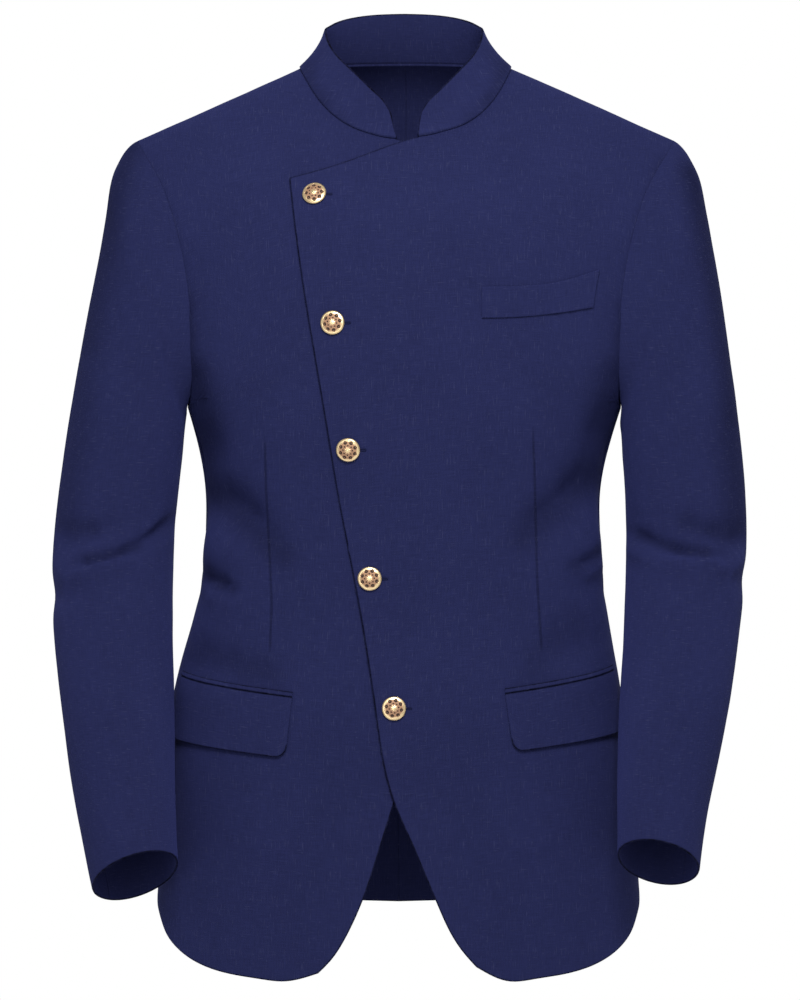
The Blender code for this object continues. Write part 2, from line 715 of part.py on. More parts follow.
def sleeve_grid(hand_name, steps=SLEEVE_STEPS):
    """The sleeve's outer and inner points, all round and from armhole to cuff."""
    hand = 1 if hand_name == "left" else -1
    angles = ring_angles()
    first, body_normals = armhole_ring(hand)
    rings = [first] + [sleeve_ring(row, hand, angles) for row in SLEEVES[hand_name]]
    middles = [ring.mean(axis=0) for ring in rings]
    lengths = np.concatenate([[0], np.cumsum(np.linalg.norm(np.diff(middles, axis=0), axis=1))])
    along = Spline(lengths / lengths[-1], np.array(rings))
    outer = along(np.linspace(0, 1, steps + 1) ** SLEEVE_CROWDING).transpose(1, 0, 2)
    round_it, down = across_grid(outer, wrap=True)
    normal = unit(np.cross(round_it, down)) * hand
    outer = outer - normal * sleeve_relief(hand_name, angles, outer)[..., None]
    clearance = np.interp(np.arange(1, steps + 1), (1, 5), (SLEEVE_LAP, SLEEVE_CLEARANCE))
    facing_body = (angles > SLEEVE_TO_BODY_ANGLES[0]) & (angles < SLEEVE_TO_BODY_ANGLES[1])
    outer[facing_body, 1:] = kept_clear(outer[facing_body, 1:], clearance)

    round_it, down = across_grid(outer, wrap=True)
    normal = unit(np.cross(round_it, down)) * hand
    away = unit(np.cross(np.roll(first, -1, axis=0) - np.roll(first, 1, axis=0), body_normals)) * -hand
    doubled_back = np.clip(-np.sum(unit(down[:, 0]) * away, axis=-1, keepdims=True), 0, 1)
    outer[:, 0] = first + away * SEAM_GAP + body_normals * SLEEVE_LAP * doubled_back
    towards_body = np.clip(np.sum(normal[:, 0] * away, axis=-1, keepdims=True), 0, None)
    normal[:, 0] = unit(normal[:, 0] - towards_body * away)
    return outer, outer - normal * CLOTH


def shifted_edges(outer, inner):
    """Both grids with their first and last columns drawn in by half a seam gap."""
    for grid in (outer, inner):
        for edge, neighbour in ((0, 1), (-1, -2)):
            grid[edge] += unit(grid[neighbour] - grid[edge]) * SEAM_GAP / 2
    return outer, inner


def make_sleeves():
    """Each sleeve is a broad top sleeve and a narrow under sleeve, with one seam inside and one behind."""
    for hand_name in ("left", "right"):
        outer, inner = sleeve_grid(hand_name)
        count = len(outer)
        back_seam = count - BACK_SEAM_STEP
        under = np.arange(ARMHOLE_STEPS, back_seam + 1)
        top = np.concatenate([np.arange(back_seam, count), np.arange(0, ARMHOLE_STEPS + 1)])
        for name, chosen in (("top_sleeve", top), ("under_sleeve", under)):
            grids = shifted_edges(outer[chosen].copy(), inner[chosen].copy())
            cloth_wall(f"{name}_{hand_name}", *grids, navy)


def collar_point(hand_name, angle, share_up):
    """A point of the collar at an angle from the middle of the front, and a share of its height."""
    hand = 1 if hand_name == "left" else -1
    side = "front" if angle <= 90 else "back"
    x, z = neck_place(angle)
    lift = lap_lift(hand * x) if side == "front" else 0.0
    place = torso_point(side, hand, angle_of(x, z), z, lift)[0]
    turn = math.radians(angle)
    high = float(collar_top(angle))
    aside = hand * COLLAR_TOP_HALF_WIDTH * math.sin(turn) + float(sway(high))
    top = np.array([aside, -COLLAR_TOP_REACH[side] * math.cos(turn), high])
    point = place * (1 - share_up) + top * share_up
    hollow = 4 * COLLAR_HOLLOW * share_up * (1 - share_up)
    return point - hollow * np.array([hand * math.sin(turn), -math.cos(turn), 0.0])


collar_top = Spline(
    column(COLLAR_TOP, COLLAR_TOP_COLUMNS, "angle"), column(COLLAR_TOP, COLLAR_TOP_COLUMNS, "height")
)


def collar_half(hand_name):
    """Points of half the collar, from its front end to the middle of the back, and from the seam up."""
    low_end, high_end = COLLAR_ENDS[hand_name]
    front = np.linspace(low_end, 90, NOTCH_STEP + 1)
    front = np.concatenate([np.linspace(low_end, front[1], 4)[:-1], front[1:]])
    angles = np.concatenate([front, np.linspace(90, 180, BACK_NECK_STEPS + 1)[1:]])
    corner = math.degrees(COLLAR_CORNER / NECK_HALF_WIDTH)
    grid = np.zeros((len(angles), COLLAR_STEPS + 1, 3))
    for i, angle in enumerate(angles):
        near = np.clip((angle - low_end) / corner, 0, 1)
        full = 1 - COLLAR_CORNER_DROP * (1 - math.sqrt(1 - (1 - near) ** 2))
        for j in range(COLLAR_STEPS + 1):
            up = full * j / COLLAR_STEPS
            swing = (high_end - low_end) * up * (180 - angle) / (180 - low_end)
            lifted = max(up, (SEAM_GAP + 0.0001) / COLLAR_HEIGHT)
            grid[i, j] = collar_point(hand_name, angle + swing, lifted)
    return grid


def make_collar():
    """One standing band all round the neck, open in front with rounded corners."""
    right, left = collar_half("right"), collar_half("left")
    outer = np.concatenate([right, left[::-1][1:]])
    around, up = across_grid(outer, wrap=False)
    normal = unit(np.cross(around, up))
    cloth_wall("collar", outer, outer - normal * COLLAR_CLOTH, navy)


def patch_on_front(name, hand, places, base, thickness):
    """A piece that lies on a front: its points moved out. Places are (angle, height)."""
    angles, heights = places[..., 0], places[..., 1]
    x = half_width(heights) * np.sin(np.radians(angles))
    lap = lap_lift(x) if hand == 1 else 0.0
    outer = torso_point("front", hand, angles, heights, lap + base + thickness)[0]
    inner = torso_point("front", hand, angles, heights, lap + base)[0]
    return cloth_wall(name, outer, inner, navy)


def make_welt():
    """The chest pocket's welt, rising towards the arm."""
    top = to_angles(resample(through(seen(WELT_TOP)), WELT_COLUMNS))
    bottom = to_angles(resample(through(seen(WELT_BOTTOM)), WELT_COLUMNS))
    places = np.linspace(bottom, top, WELT_ROWS).transpose(1, 0, 2)
    patch_on_front("chest_welt", 1, places, PATCH_GAP, WELT_CLOTH)


def flap_places(hand_name, hand):
    """(angle, height) places of a hip flap, from its front edge round to the side, and from bottom to top."""
    flap = dict(zip(FLAP_COLUMNS, FLAPS[hand_name]))
    front_top = to_angles(seen([(flap["top_x"], flap["top_z"])], hand))[0]
    front_bottom = to_angles(seen([(flap["bottom_x"], flap["bottom_z"])], hand))[0]
    side_top = np.array([FLAP_SIDE_ANGLE, flap["side_top_z"]])
    side_bottom = np.array([FLAP_SIDE_ANGLE, flap["side_bottom_z"]])
    places = np.zeros((len(FLAP_SHARES), FLAP_ROWS, 2))
    for i, share in enumerate(FLAP_SHARES):
        top = front_top + share * (side_top - front_top)
        bottom = front_bottom + share * (side_bottom - front_bottom)
        near = min(1.0, FLAP_LENGTH * share / FLAP_CORNER)
        bottom[1] += FLAP_CORNER * (1 - math.sqrt(1 - (1 - near) ** 2))
        places[i] = np.linspace(bottom, top, FLAP_ROWS)
    return places


def make_hip_pockets():
    """On each hip a flap, and above it the narrow jet of the pocket's mouth."""
    for hand_name, hand in (("left", 1), ("right", -1)):
        places = flap_places(hand_name, hand)
        patch_on_front(f"pocket_flap_{hand_name}", hand, places, PATCH_GAP, FLAP_CLOTH)
        low = places[:, -1] + np.array([0.0, SEAM_GAP])
        jet = np.stack([low, low + np.array([0.0, JET_HEIGHT])], axis=1)
        patch_on_front(f"pocket_jet_{hand_name}", hand, jet, PATCH_GAP, JET_CLOTH)


def button_frame(place):
    """A matrix whose origin is on the overlapping front's face at place, with +Z straight out of it."""
    x, z = seen([place])[0]
    point, normal = torso_point("front", 1, angle_of(x, z), np.array(z), float(lap_lift(x)))
    point, normal = Vector(point), Vector(normal)
    upward = Vector((0, 0, 1))
    across = upward.cross(normal).normalized()
    matrix = Matrix((across, normal.cross(across), normal)).transposed().to_4x4()
    matrix.translation = point
    return matrix


def button_profile():
    """Radius and height of a domed metal button, from the middle of its face to the foot of its shank."""
    foot = -(CLOTH + LAP_GAP - SEAM_GAP)
    face = BUTTON_STAND + BUTTON_RIM
    dome = [(BUTTON_RADIUS * s, face + BUTTON_DOME * (1 - s**2.2)) for s in (0.0, 0.35, 0.65, 0.88, 1.0)]
    return [
        *dome,
        (BUTTON_RADIUS, BUTTON_STAND + 0.0003),
        (BUTTON_RADIUS * 0.93, BUTTON_STAND),
        (BUTTON_SHANK_RADIUS, BUTTON_STAND),
        (BUTTON_SHANK_RADIUS, foot),
        (0.0, foot),
    ]


def button_mesh():
    """The turned button, made once and shared by all five."""
    turned = bmesh.new()
    verts = [turned.verts.new((radius, 0, height)) for radius, height in button_profile()]
    edges = [turned.edges.new(pair) for pair in zip(verts, verts[1:])]
    bmesh.ops.spin(
        turned,
        geom=verts + edges,
        axis=(0, 0, 1),
        cent=(0, 0, 0),
        angle=math.tau,
        steps=BUTTON_SIDES,
        use_duplicate=False,
    )
    bmesh.ops.remove_doubles(turned, verts=turned.verts[:], dist=1e-5)
    bmesh.ops.recalc_face_normals(turned, faces=turned.faces[:])
    mesh = bpy.data.meshes.new("button")
    turned.to_mesh(mesh)
    turned.free()
    mesh.shade_smooth()
    mesh.set_sharp_from_angle(angle=math.radians(40))
    mesh.materials.append(gold)
    return mesh


def cut_buttonholes(front):
    """Slits through the overlapping front, which the buttons' shanks pass through."""
    holes = bmesh.new()
    for place in BUTTON_PLACES:
        made = bmesh.ops.create_cube(holes, size=1.0)["verts"]
        size = Matrix.Diagonal((BUTTONHOLE_LENGTH, BUTTONHOLE_WIDTH, BUTTONHOLE_CUT_DEPTH, 1.0))
        along = Matrix.Translation((BUTTONHOLE_LENGTH / 2 - BUTTONHOLE_BEHIND, 0, 0))
        bmesh.ops.transform(holes, matrix=button_frame(place) @ along @ size, verts=made)
    mesh = bpy.data.meshes.new("buttonholes")
    holes.to_mesh(mesh)
    holes.free()
    cutter = bpy.data.objects.new("buttonholes", mesh)
    cutter.hide_render = True
    cutter.display_type = "WIRE"
    cutters.objects.link(cutter)
    cut = front.modifiers.new("buttonholes", "BOOLEAN")
    cut.object = cutter
    cut.operation = "DIFFERENCE"
    cut.solver = "EXACT"


def make_buttons():
    shape = button_mesh()
    for number, place in enumerate(BUTTON_PLACES, 1):
        piece = bpy.data.objects.new(f"button_{number}", shape)
        piece.matrix_world = button_frame(place)
        jacket.objects.link(piece)


for old in list(bpy.data.objects):
    bpy.data.objects.remove(old)
jacket = bpy.data.collections.new("bandhgala_jacket")
cutters = bpy.data.collections.new("cutters")
bpy.context.scene.collection.children.link(jacket)
bpy.context.scene.collection.children.link(cutters)
navy = make_material("navy_suiting", NAVY, 0.85)
gold = make_material("antique_gold", GOLD, 0.35, 1.0)

overlapping_front = make_fronts()
cut_buttonholes(overlapping_front)
make_backs()
make_sleeves()
make_collar()
make_welt()
make_hip_pockets()
make_buttons()
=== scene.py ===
"""The look of a navy bandhgala jacket that keeps the form of a wearer who isn't there.

Each cloth piece is a thin shell over its solid, with rolled edges, folds, darts and a slubbed plain weave.
The buttons are gilt, with a petalled ornament. Metres, +Z up, +X to the wearer's left, the front facing -Y.
"""

import math

import bmesh
import bpy
import numpy as np
from mathutils import Matrix, Vector, kdtree, noise


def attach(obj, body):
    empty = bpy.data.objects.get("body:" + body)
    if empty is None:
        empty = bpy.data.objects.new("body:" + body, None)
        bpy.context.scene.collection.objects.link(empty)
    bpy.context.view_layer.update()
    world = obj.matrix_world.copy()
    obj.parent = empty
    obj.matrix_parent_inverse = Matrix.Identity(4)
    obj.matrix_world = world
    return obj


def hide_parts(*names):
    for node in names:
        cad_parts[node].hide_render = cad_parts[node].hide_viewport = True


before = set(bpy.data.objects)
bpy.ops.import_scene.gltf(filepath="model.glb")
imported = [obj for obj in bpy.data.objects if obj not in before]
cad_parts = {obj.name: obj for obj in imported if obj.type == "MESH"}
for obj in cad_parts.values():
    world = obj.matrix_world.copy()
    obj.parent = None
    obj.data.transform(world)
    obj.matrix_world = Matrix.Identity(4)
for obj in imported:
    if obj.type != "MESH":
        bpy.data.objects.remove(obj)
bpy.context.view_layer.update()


def metres(table):
    """A table of millimetres in metres."""
    if isinstance(table, dict):
        return {key: metres(value) for key, value in table.items()}
    if isinstance(table, (tuple, list)):
        return tuple(metres(value) for value in table)
    return round(table / 1000, 7)


# The wearer's hands, and the way that x runs to them
HANDS = {"left": 1, "right": -1}

# Cloth and seams
CLOTH = 0.002
COLLAR_CLOTH = 0.0026
LAP_GAP = 0.001
EDGE_ROUNDING = 0.0016
SEAM_ROUNDING = 0.001
SEAM_SINK = 0.2
EDGE_FALL = 0.47
EDGE_SPACING = 0.0004

# Shoulder line, from the side of the neck to the shoulder point
NECK_HALF_WIDTH = 0.086
SHOULDER_HALF_WIDTH = 0.2253
NECK_SIDE_HEIGHT = -0.002
SHOULDER_SLOPE = 0.4446

# The torso form: each height's half width, and its reach in front of and behind the shoulders
SQUARENESS = 2.25
SHOULDER_ROUNDING = {"front": 0.16, "back": 0.06}
TORSO = metres((
    (-790, 206, 130, 132), (-700, 202.6, 131, 130), (-600, 195, 129, 122), (-515, 185.7, 124, 110),
    (-455, 172.2, 118, 100), (-410, 167.2, 116.5, 98), (-365, 165.4, 120, 103), (-325, 171.2, 126.5, 111),
    (-290, 181.2, 130.5, 118), (-250, 192.5, 132, 124), (-200, 203.2, 128.5, 128), (-150, 214.5, 118.5, 127),
    (-100, 228.5, 100, 122), (-64, 236.2, 83.2, 116), (-30, 240.5, 73.5, 110), (40, 245, 64, 102),
))

# How far the middle of the jacket strays to the wearer's left at each height
SWAY = metres((
    (-790, -4.8), (-695, -3.2), (-560, -4.4), (-500, -3.2), (-433, 0), (-367, 0.3), (-300, 1.4), (-60, 2.8),
    (-10, 2.8), (25, 1.3), (50, 1),
))

# Neckline: heights at angles from the middle of the front to the side, and its reach behind the shoulders
NECKLINE = (
    (0, -0.0632), (10, -0.062), (20, -0.0583), (29, -0.0538), (39.5, -0.0463), (51.7, -0.035), (63, -0.0228),
    (74, -0.0116), (90, -0.002),
)
NECK_BACK_REACH = 0.07

# Armhole, from the shoulder point to the armpit: angle round the torso from its middle, and height
ARMHOLE = {
    "front": (
        (67.4, -0.0823), (63.5, -0.1016), (61.9, -0.1275), (61.6, -0.1554), (62.1, -0.1854), (63.8, -0.2133),
        (68, -0.2453), (74.3, -0.2669), (82, -0.2825),
    ),
    "back": (
        (68.5, -0.0823), (66, -0.1016), (65, -0.1275), (65, -0.1554), (65.8, -0.1854), (67.8, -0.2133),
        (71.5, -0.2453), (76.5, -0.2669), (83, -0.2825),
    ),
}
ARMPIT_HEIGHT = -0.288

# Front edges, as (x, z) seen from the front, from the top down to the turn of the hem
OVERLAP_EDGE = metres((
    (-94.1, -97), (-86.5, -159.6), (-72.8, -245.3), (-57.8, -335), (-41.7, -422.9), (-23.5, -534.2),
    (-7.3, -617.4), (8.2, -653.4), (18.9, -679.1), (29.7, -704.8), (40.3, -727.4), (51.1, -743.4),
    (61.7, -755.2),
))
OVERLAP_TOP = metres(((-94.1, -97), (-48.1, -83.8), (-16, -71.8), (-1.7, -66.8)))
UNDERLAP_TOP_MIDDLE = (0, -0.0652)
UNDERLAP_EDGE = metres((
    (23, -69), (23, -200), (23, -400), (20.5, -500), (8, -570), (-7.1, -618.7), (-21.3, -664.1),
    (-30, -690.9), (-38.6, -712.3), (-49.2, -733.7), (-60, -749.8), (-70.6, -760.5),
))
LAP_FULL_X = 0.027
LAP_NONE_X = 0.062

# Hem: angle round the torso from its middle, and height
FRONT_HEM = (
    (27, -0.7672), (34, -0.7655), (42, -0.762), (50, -0.757), (58, -0.7495), (66, -0.7395), (74, -0.7265),
    (81, -0.7125), (86, -0.7045),
)
SIDE_HEM_HEIGHT = -0.696
BACK_HEM_HEIGHT = -0.7045

# Collar: the ends' angle from the middle of the front, at the seam and at the top, and the top edge's heights
COLLAR_ENDS = {"right": (5.0, 12.0), "left": (6.5, 11.5)}
COLLAR_TOP_HALF_WIDTH = 0.0642
COLLAR_HOLLOW = 0.0034
COLLAR_HEIGHT = 0.04
COLLAR_TOP_REACH = {"front": 0.0615, "back": 0.06}
COLLAR_TOP = (
    (0, -0.047), (8, -0.042), (11.5, -0.0376), (15.7, -0.0318), (24.6, -0.0225), (37.1, -0.0104),
    (52.8, 0.002), (70.7, 0.0148), (82, 0.0234), (90, 0.0286), (105, 0.0321), (120, 0.0361), (137.5, 0.0402),
    (157, 0.0431), (180, 0.0442),
)
COLLAR_CORNER = 0.01
COLLAR_CORNER_DROP = 0.15
COLLAR_TUCK = 0.03
COLLAR_ROUNDING = 0.002

# Sleeve rings, from just below the armhole to the cuff: the ring's outer and inner point as (x, z), and its
# middle's y. Then each ring's half depth, the angle by which its front is raised, and how much narrower it
# gets towards its outer point.
SLEEVES = metres({
    "right": (
        (239.5, -84, 181.5, -296, 0), (248.6, -123.2, 183, -309, 0), (259.2, -183.1, 184.8, -329, 0),
        (271, -245.3, 187.3, -352.8, 0), (282.4, -313.6, 190.3, -382.2, 1),
        (290.5, -375.5, 192.1, -415.8, -4), (294.3, -431.4, 192.8, -449.4, -18),
        (292.5, -474.6, 192.4, -487.2, -36), (286, -534.2, 190.7, -543.5, -60),
        (280, -580.4, 190.3, -585.5, -78), (271.5, -630, 189.3, -627.5, -95),
        (259.2, -689.6, 187, -669, -113),
    ),
    "left": (
        (243.7, -84, 182.2, -296, 0), (255.2, -123.2, 183.5, -309, 0), (265.8, -183.1, 184.8, -329, 0),
        (275, -245.3, 186.3, -352.8, 0), (283.8, -313.6, 187.4, -382.2, 0),
        (288.6, -375.5, 187.7, -415.8, -7), (287.9, -426, 186.6, -448, -23),
        (282.5, -474.6, 184.6, -487.2, -44), (273.8, -534.2, 181.2, -540, -74),
        (264.8, -580.4, 179.6, -583, -92), (255.2, -625, 179.3, -620, -107),
        (248.2, -674, 179.2, -662, -122),
    ),
})
SLEEVE_SHAPE = (
    (0.0655, 0, 0.15), (0.068, 0, 0.11), (0.068, 0, 0.06), (0.0665, 0, 0.02), (0.063, 2, 0), (0.06, 6, 0),
    (0.058, 12, 0), (0.057, 16, 0), (0.055, 19, 0), (0.0535, 20, 0), (0.0515, 21, 0), (0.05, 22, 0),
)

# The solids' own soft troughs. On a body panel each runs from one (x, z) to the other, seen from the front.
BODY_FOLDS = metres({
    "front": ((166, -438, 130, -425, 4, 13), (164, -370, 112, -396, 3, 22), (174, -302, 142, -340, 3, 24)),
    "back": ((164, -410, 90, -395, 3.5, 16), (166, -445, 110, -438, 3, 14), (150, -150, 135, -290, 3, 24)),
})
# On a sleeve each runs from one (angle round the ring, height) to the other.
SLEEVE_FOLDS = {
    "right": (
        (100, -0.418, 165, -0.385, 0.006, 0.012), (35, -0.402, 100, -0.39, 0.004, 0.012),
        (-20, -0.448, 35, -0.44, 0.003, 0.014), (200, -0.395, 260, -0.415, 0.005, 0.013),
    ),
    "left": (
        (70, -0.414, 150, -0.386, 0.006, 0.012), (15, -0.402, 75, -0.388, 0.004, 0.012),
        (-20, -0.433, 35, -0.43, 0.003, 0.014), (200, -0.395, 260, -0.415, 0.005, 0.013),
    ),
}

# Sharper creases over the troughs, as depth, width and path of (x, z) seen from the front.
BODY_CREASES = metres({
    "front": (
        (9.4, 19, ((-185, -270), (-175, -330), (-162, -356), (-136, -377), (-101, -407))),
        (3, 8.5, ((-162, -356), (-144, -370), (-130, -381), (-110, -399))),
        (5, 5.4, ((-172, -422.2), (-155, -434.3), (-139, -442.7))),
        (4.6, 15, ((-185.2, -490), (-153.3, -499), (-123.9, -508))),
        (8.8, 19, ((185, -270), (173, -323.4), (158, -350), (132, -370), (103, -396))),
        (2.4, 8.5, ((164, -348), (144.9, -361), (123, -376), (105, -392))),
        (4.4, 4.8, ((172.3, -406), (157, -415), (142, -421))),
        (3.6, 15, ((170.9, -484), (144.9, -488), (110, -499))),
        (1.4, 11, ((150, -250), (156, -205), (148, -170))),
        (1.4, 11, ((-152, -250), (-158, -205), (-150, -170))),
    ),
    "back": (
        (1.6, 7, ((-164, -426), (-130, -422), (-90, -425))),
        (1.6, 7, ((164, -422), (135, -428), (100, -426))),
        (1.2, 11, ((-145, -130), (-140, -200), (-148, -270))),
        (1.2, 11, ((147, -135), (139, -210), (146, -265))), (1, 12, ((-70, -405), (-30, -397), (0, -399))),
        (1, 12, ((75, -400), (40, -407), (5, -410))),
    ),
})
# The same on the sleeves, on their front and back halves.
SLEEVE_CREASES = metres({
    "right": {
        "front": (
            (5, 5, ((-279.3, -420.5), (-256.6, -415), (-223, -404), (-201, -390.6), (-187, -379.5))),
            (4.4, 4.6, ((-272, -418.5), (-256.6, -415), (-240, -410), (-223, -404))),
            (4.6, 11, ((-290, -404), (-262, -392.5), (-236, -386))),
            (1.4, 9, ((-293, -449), (-278, -445), (-264, -440))),
            (1.2, 13, ((-215, -430), (-240, -448), (-270, -456))),
            (1, 15, ((-205, -310), (-225, -260), (-235, -210))),
        ),
        "back": (
            (2.2, 6, ((-194, -410), (-220, -420), (-255, -418))),
            (1.6, 10, ((-200, -385), (-235, -393), (-270, -388))),
            (1.2, 14, ((-210, -300), (-225, -250), (-230, -190))),
        ),
    },
    "left": {
        "front": (
            (8.6, 5.6, ((274, -412), (259.1, -410.2), (233.1, -407.4), (212.1, -403.2), (186, -391.5))),
            (6.6, 10, ((289, -401.2), (254.1, -390.6), (226, -381.5))),
            (1.4, 9, ((287, -433), (279, -430), (266, -427))),
            (1.2, 13, ((210, -426), (235, -442), (265, -450))),
            (1, 15, ((205, -310), (228, -260), (240, -210))),
        ),
        "back": (
            (2.2, 6, ((190, -406), (220, -416), (250, -414))),
            (1.6, 10, ((198, -382), (233, -390), (265, -385))),
            (1.2, 14, ((210, -300), (228, -250), (235, -190))),
        ),
    },
})
CREASE_FACING = 0.5

# Painted shade in the cloth's colour: at its folds, the armholes, the sleeves' outer edges and the collar's
# sides. How much darker, and how wide and the path as (x, z), both in millimetres.
SHADES = {
    "front": (
        (0.14, 4, ((-205.4, -99.3), (-191.1, -138.6), (-180.2, -194.9), (-178.5, -250.3))),
        (0.26, 8.5, ((-181, -200), (-178, -260))),
        (0.14, 4, ((218, -80), (201, -123), (189, -170), (183.5, -250))),
        (0.24, 8.5, ((185, -205), (182.5, -260))),
        (0.42, 15, ((-172.2, -264), (-165, -298), (-164, -330), (-160, -356))),
        (0.3, 13, ((-160.9, -357), (-140.7, -373.8), (-119.7, -393.1), (-100.4, -411.6))),
        (0.34, 6, ((-168, -427), (-156, -433), (-143, -439))),
        (0.2, 13, ((-172, -496), (-140, -502), (-110, -509))),
        (0.3, 17, ((172, -264), (165.9, -315), (159.2, -344.4))),
        (0.26, 14, ((159.2, -344.4), (140.7, -362.9), (119.7, -378), (100.4, -397.3))),
        (0.22, 6, ((166, -411), (156, -416), (144, -423))),
        (0.12, 14, ((140, -465), (120, -490), (106, -512))),
    ),
    "sleeve_right": (
        (0.5, 18, ((-234, -64), (-242, -90), (-251, -130), (-260, -175), (-270, -230))),
        (0.32, 19, ((-274.5, -264), (-285, -330), (-290, -370))),
        (0.18, 7, ((-288, -385), (-274, -387), (-260, -388))),
        (0.22, 5, ((-264, -415), (-248, -413), (-223, -405))),
    ),
    "sleeve_left": (
        (0.58, 15, ((246, -90), (261, -150), (270, -205), (277.5, -250), (281.8, -293))),
        (0.48, 20, ((284.5, -318), (287, -355), (288.5, -380))),
        (0.2, 9, ((270, -396), (254.1, -390.6), (238, -384))),
        (0.28, 5, ((254, -409.5), (233.1, -406), (212.1, -400), (200, -395))),
    ),
    "collar": (
        (0.26, 9, ((-84.5, 0), (-80.2, -12.6), (-76, -22.7), (-69.3, -31.9))),
        (0.14, 7, ((-64, -37), (-56, -44), (-48, -49))), (0.13, 11, ((-71, 10.9), (-76, 2.5))),
        (0.26, 7, ((88, -1), (81.9, -12.6), (79.4, -21), (73.5, -29.4))),
        (0.14, 6, ((69, -35), (62, -43), (54, -49))), (0.17, 12, ((73.5, 12.6), (81.9, 0.8))),
    ),
}
# The normal's y where the shades begin to fade out, and where they end
SHADE_FACING = (-0.1, 0.5)
RIPPLE = 0.00035
RIPPLE_SIZE = 0.055

# Darts down the fronts, as (x, z) seen from the front
DARTS = metres({
    "right": ((-115.2, -309.1), (-114.1, -356.2), (-111.4, -405.7), (-109.3, -452.8), (-111, -493.6)),
    "left": ((108.7, -301.6), (110.4, -345.7), (111.5, -388.6), (112.6, -431.4), (116.3, -493.6)),
})

# How the sleeves are set in, and kept off the body
SLEEVE_CLEARANCE = 0.0045
SLEEVE_LAP = 0.0018
SLEEVE_HEAD_ROLL = 0.0012
SLEEVE_CLEAR_FROM = 80
SEAM_TUCK = 0.0004
SLEEVE_RADIUS = 0.078
CLEARING_PASSES = 16

# Chest pocket welt and hip pockets, as (x, z) seen from the front. A flap's row gives its front end's top and
# bottom, and the heights of both at the side.
WELT_TOP = metres(((66.3, -187.5), (103.6, -186.5), (123.3, -184.5), (164, -172.9)))
WELT_BOTTOM = metres(((65.9, -213.6), (87.3, -213.2), (116.4, -211), (159.3, -204.6)))
WELT_CLOTH = 0.0018
FLAPS = metres({
    "right": (-91.6, -530.4, -96.4, -581, -513, -565), "left": (85, -527.5, 91, -576, -508, -559),
})
FLAP_LENGTH = 0.15
FLAP_SIDE_ANGLE = 76.0
FLAP_CORNER = 0.011
FLAP_CLOTH = 0.0018
FLAP_FLARE = 0.001
JET_HEIGHT = 0.0042
JET_CLOTH = 0.0014
PATCH_GAP = 0.0003
JET_LIFT = 0.0008
FLAP_ROUNDING = 0.0014
JET_ROUNDING = 0.0012

# Buttons, down the overlap
BUTTON_PLACES = metres(((-73, -111.2), (-57.8, -217.7), (-44.8, -323.1), (-27.1, -431.2), (-7.1, -539.6)))
BUTTON_RADIUS = 0.01
BUTTON_STAND = 0.0008
BUTTON_RIM = 0.0012
BUTTON_DOME = 0.0026
BUTTON_SIDES = 144
# Its back, from the rim to the end of the shank: share of the radius, and height over the stand
BUTTON_BACK = ((1, 0.0006), (0.985, 0.0002), (0.93, 0), (0.12, 0), (0.09, -0.0002), (0.09, -0.002))
BUTTONHOLE_LENGTH = 0.0178
BUTTONHOLE_WIDTH = 0.0021
BUTTONHOLE_BEHIND = 0.0025
BUTTONHOLE_SIDES = 96
# Across the stitches, from the slit outwards: share of the half width, and height
BUTTONHOLE_PROFILE = (
    (0, 0), (0.1, 0.00006), (0.35, 0.00012), (0.45, 0.00042), (0.7, 0.00052), (0.92, 0.00034), (1, -0.0002),
)

# Colours and threads
THREAD_PITCH = 0.001
TWIST_PITCH = 0.0007
NAVY = (0.0178, 0.0212, 0.077, 1)
SLUB = (0.075, 0.082, 0.17, 1)
SHEEN = (0.2, 0.24, 1, 1)
THREAD_COLOURS = ((0.009, 0.011, 0.038, 1), (0.015, 0.018, 0.066, 1))
# Gilt by depth, from raised to sunk
GILT = ((0.08, (0.96, 0.73, 0.41, 1)), (0.42, (0.43, 0.245, 0.143, 1)), (0.85, (0.02, 0.009, 0.007, 1)))

# Stage: each light's place, size and power, and what they all face
WORLD_FILL = 0.43
LIGHTS = (
    ("key", (0.08, -1.65, 0.82), (0.8, 0.8), 33.5),
    ("front", (-1.1, -4.0, 0.1), (2.4, 2.4), 20),
    ("behind", (0.4, 3.2, 0.5), (2.5, 2.0), 14),
)
LIGHT_AIM = (0, 0, -0.38)
FLOOR_RADIUS = 4
FLOOR_HEIGHT = -0.9
CAMERA_PLACE = (-0.0021, -20, -0.3654)
CAMERA_LENS = 857.5

# Steps of the solids' own grids, by which places on them are counted
SIDE_STEPS = 16
ARMHOLE_STEPS = 14
FRONT_STEPS = 10
LAP_STEPS = 6
NOTCH_STEP = 6
BACK_NECK_STEPS = 6
SLEEVE_STEPS = 24
BACK_SEAM_STEP = 6
ARMHOLE_CROWDING = 1.5
SLEEVE_CROWDING = 1.35
EDGE_SAMPLES = 4001
PATH_SAMPLES = 49
LAP_SAMPLES = 900
STEP = 1e-4

# Metres to a degree round the torso and a sleeve, for paths
TORSO_DEGREE = 0.0032
SLEEVE_DEGREE = 0.0011


def stacked(*values):
    """Values side by side along a last axis."""
    return np.stack(np.broadcast_arrays(*values), axis=-1)


def lengths_along(grid, axis):
    """How far along an axis of the grid each point lies."""
    steps = np.linalg.norm(np.diff(grid, axis=axis), axis=-1)
    start = np.zeros_like(np.take(steps, [0], axis=axis))
    return np.concatenate([start, np.cumsum(steps, axis=axis)], axis=axis)


def unrolled(grid):
    """Where each point of the grid lies when its rows and columns are straightened."""
    return stacked(lengths_along(grid, 0), lengths_along(grid, 1))


def clamped(values):
    return np.clip(values, 0, 1)


def unit(vectors):
    return vectors / np.maximum(np.linalg.norm(vectors, axis=-1, keepdims=True), 1e-12)


def bell(away, width):
    """1 at no distance away, falling off smoothly over the width."""
    return np.exp(-((away / width) ** 2))


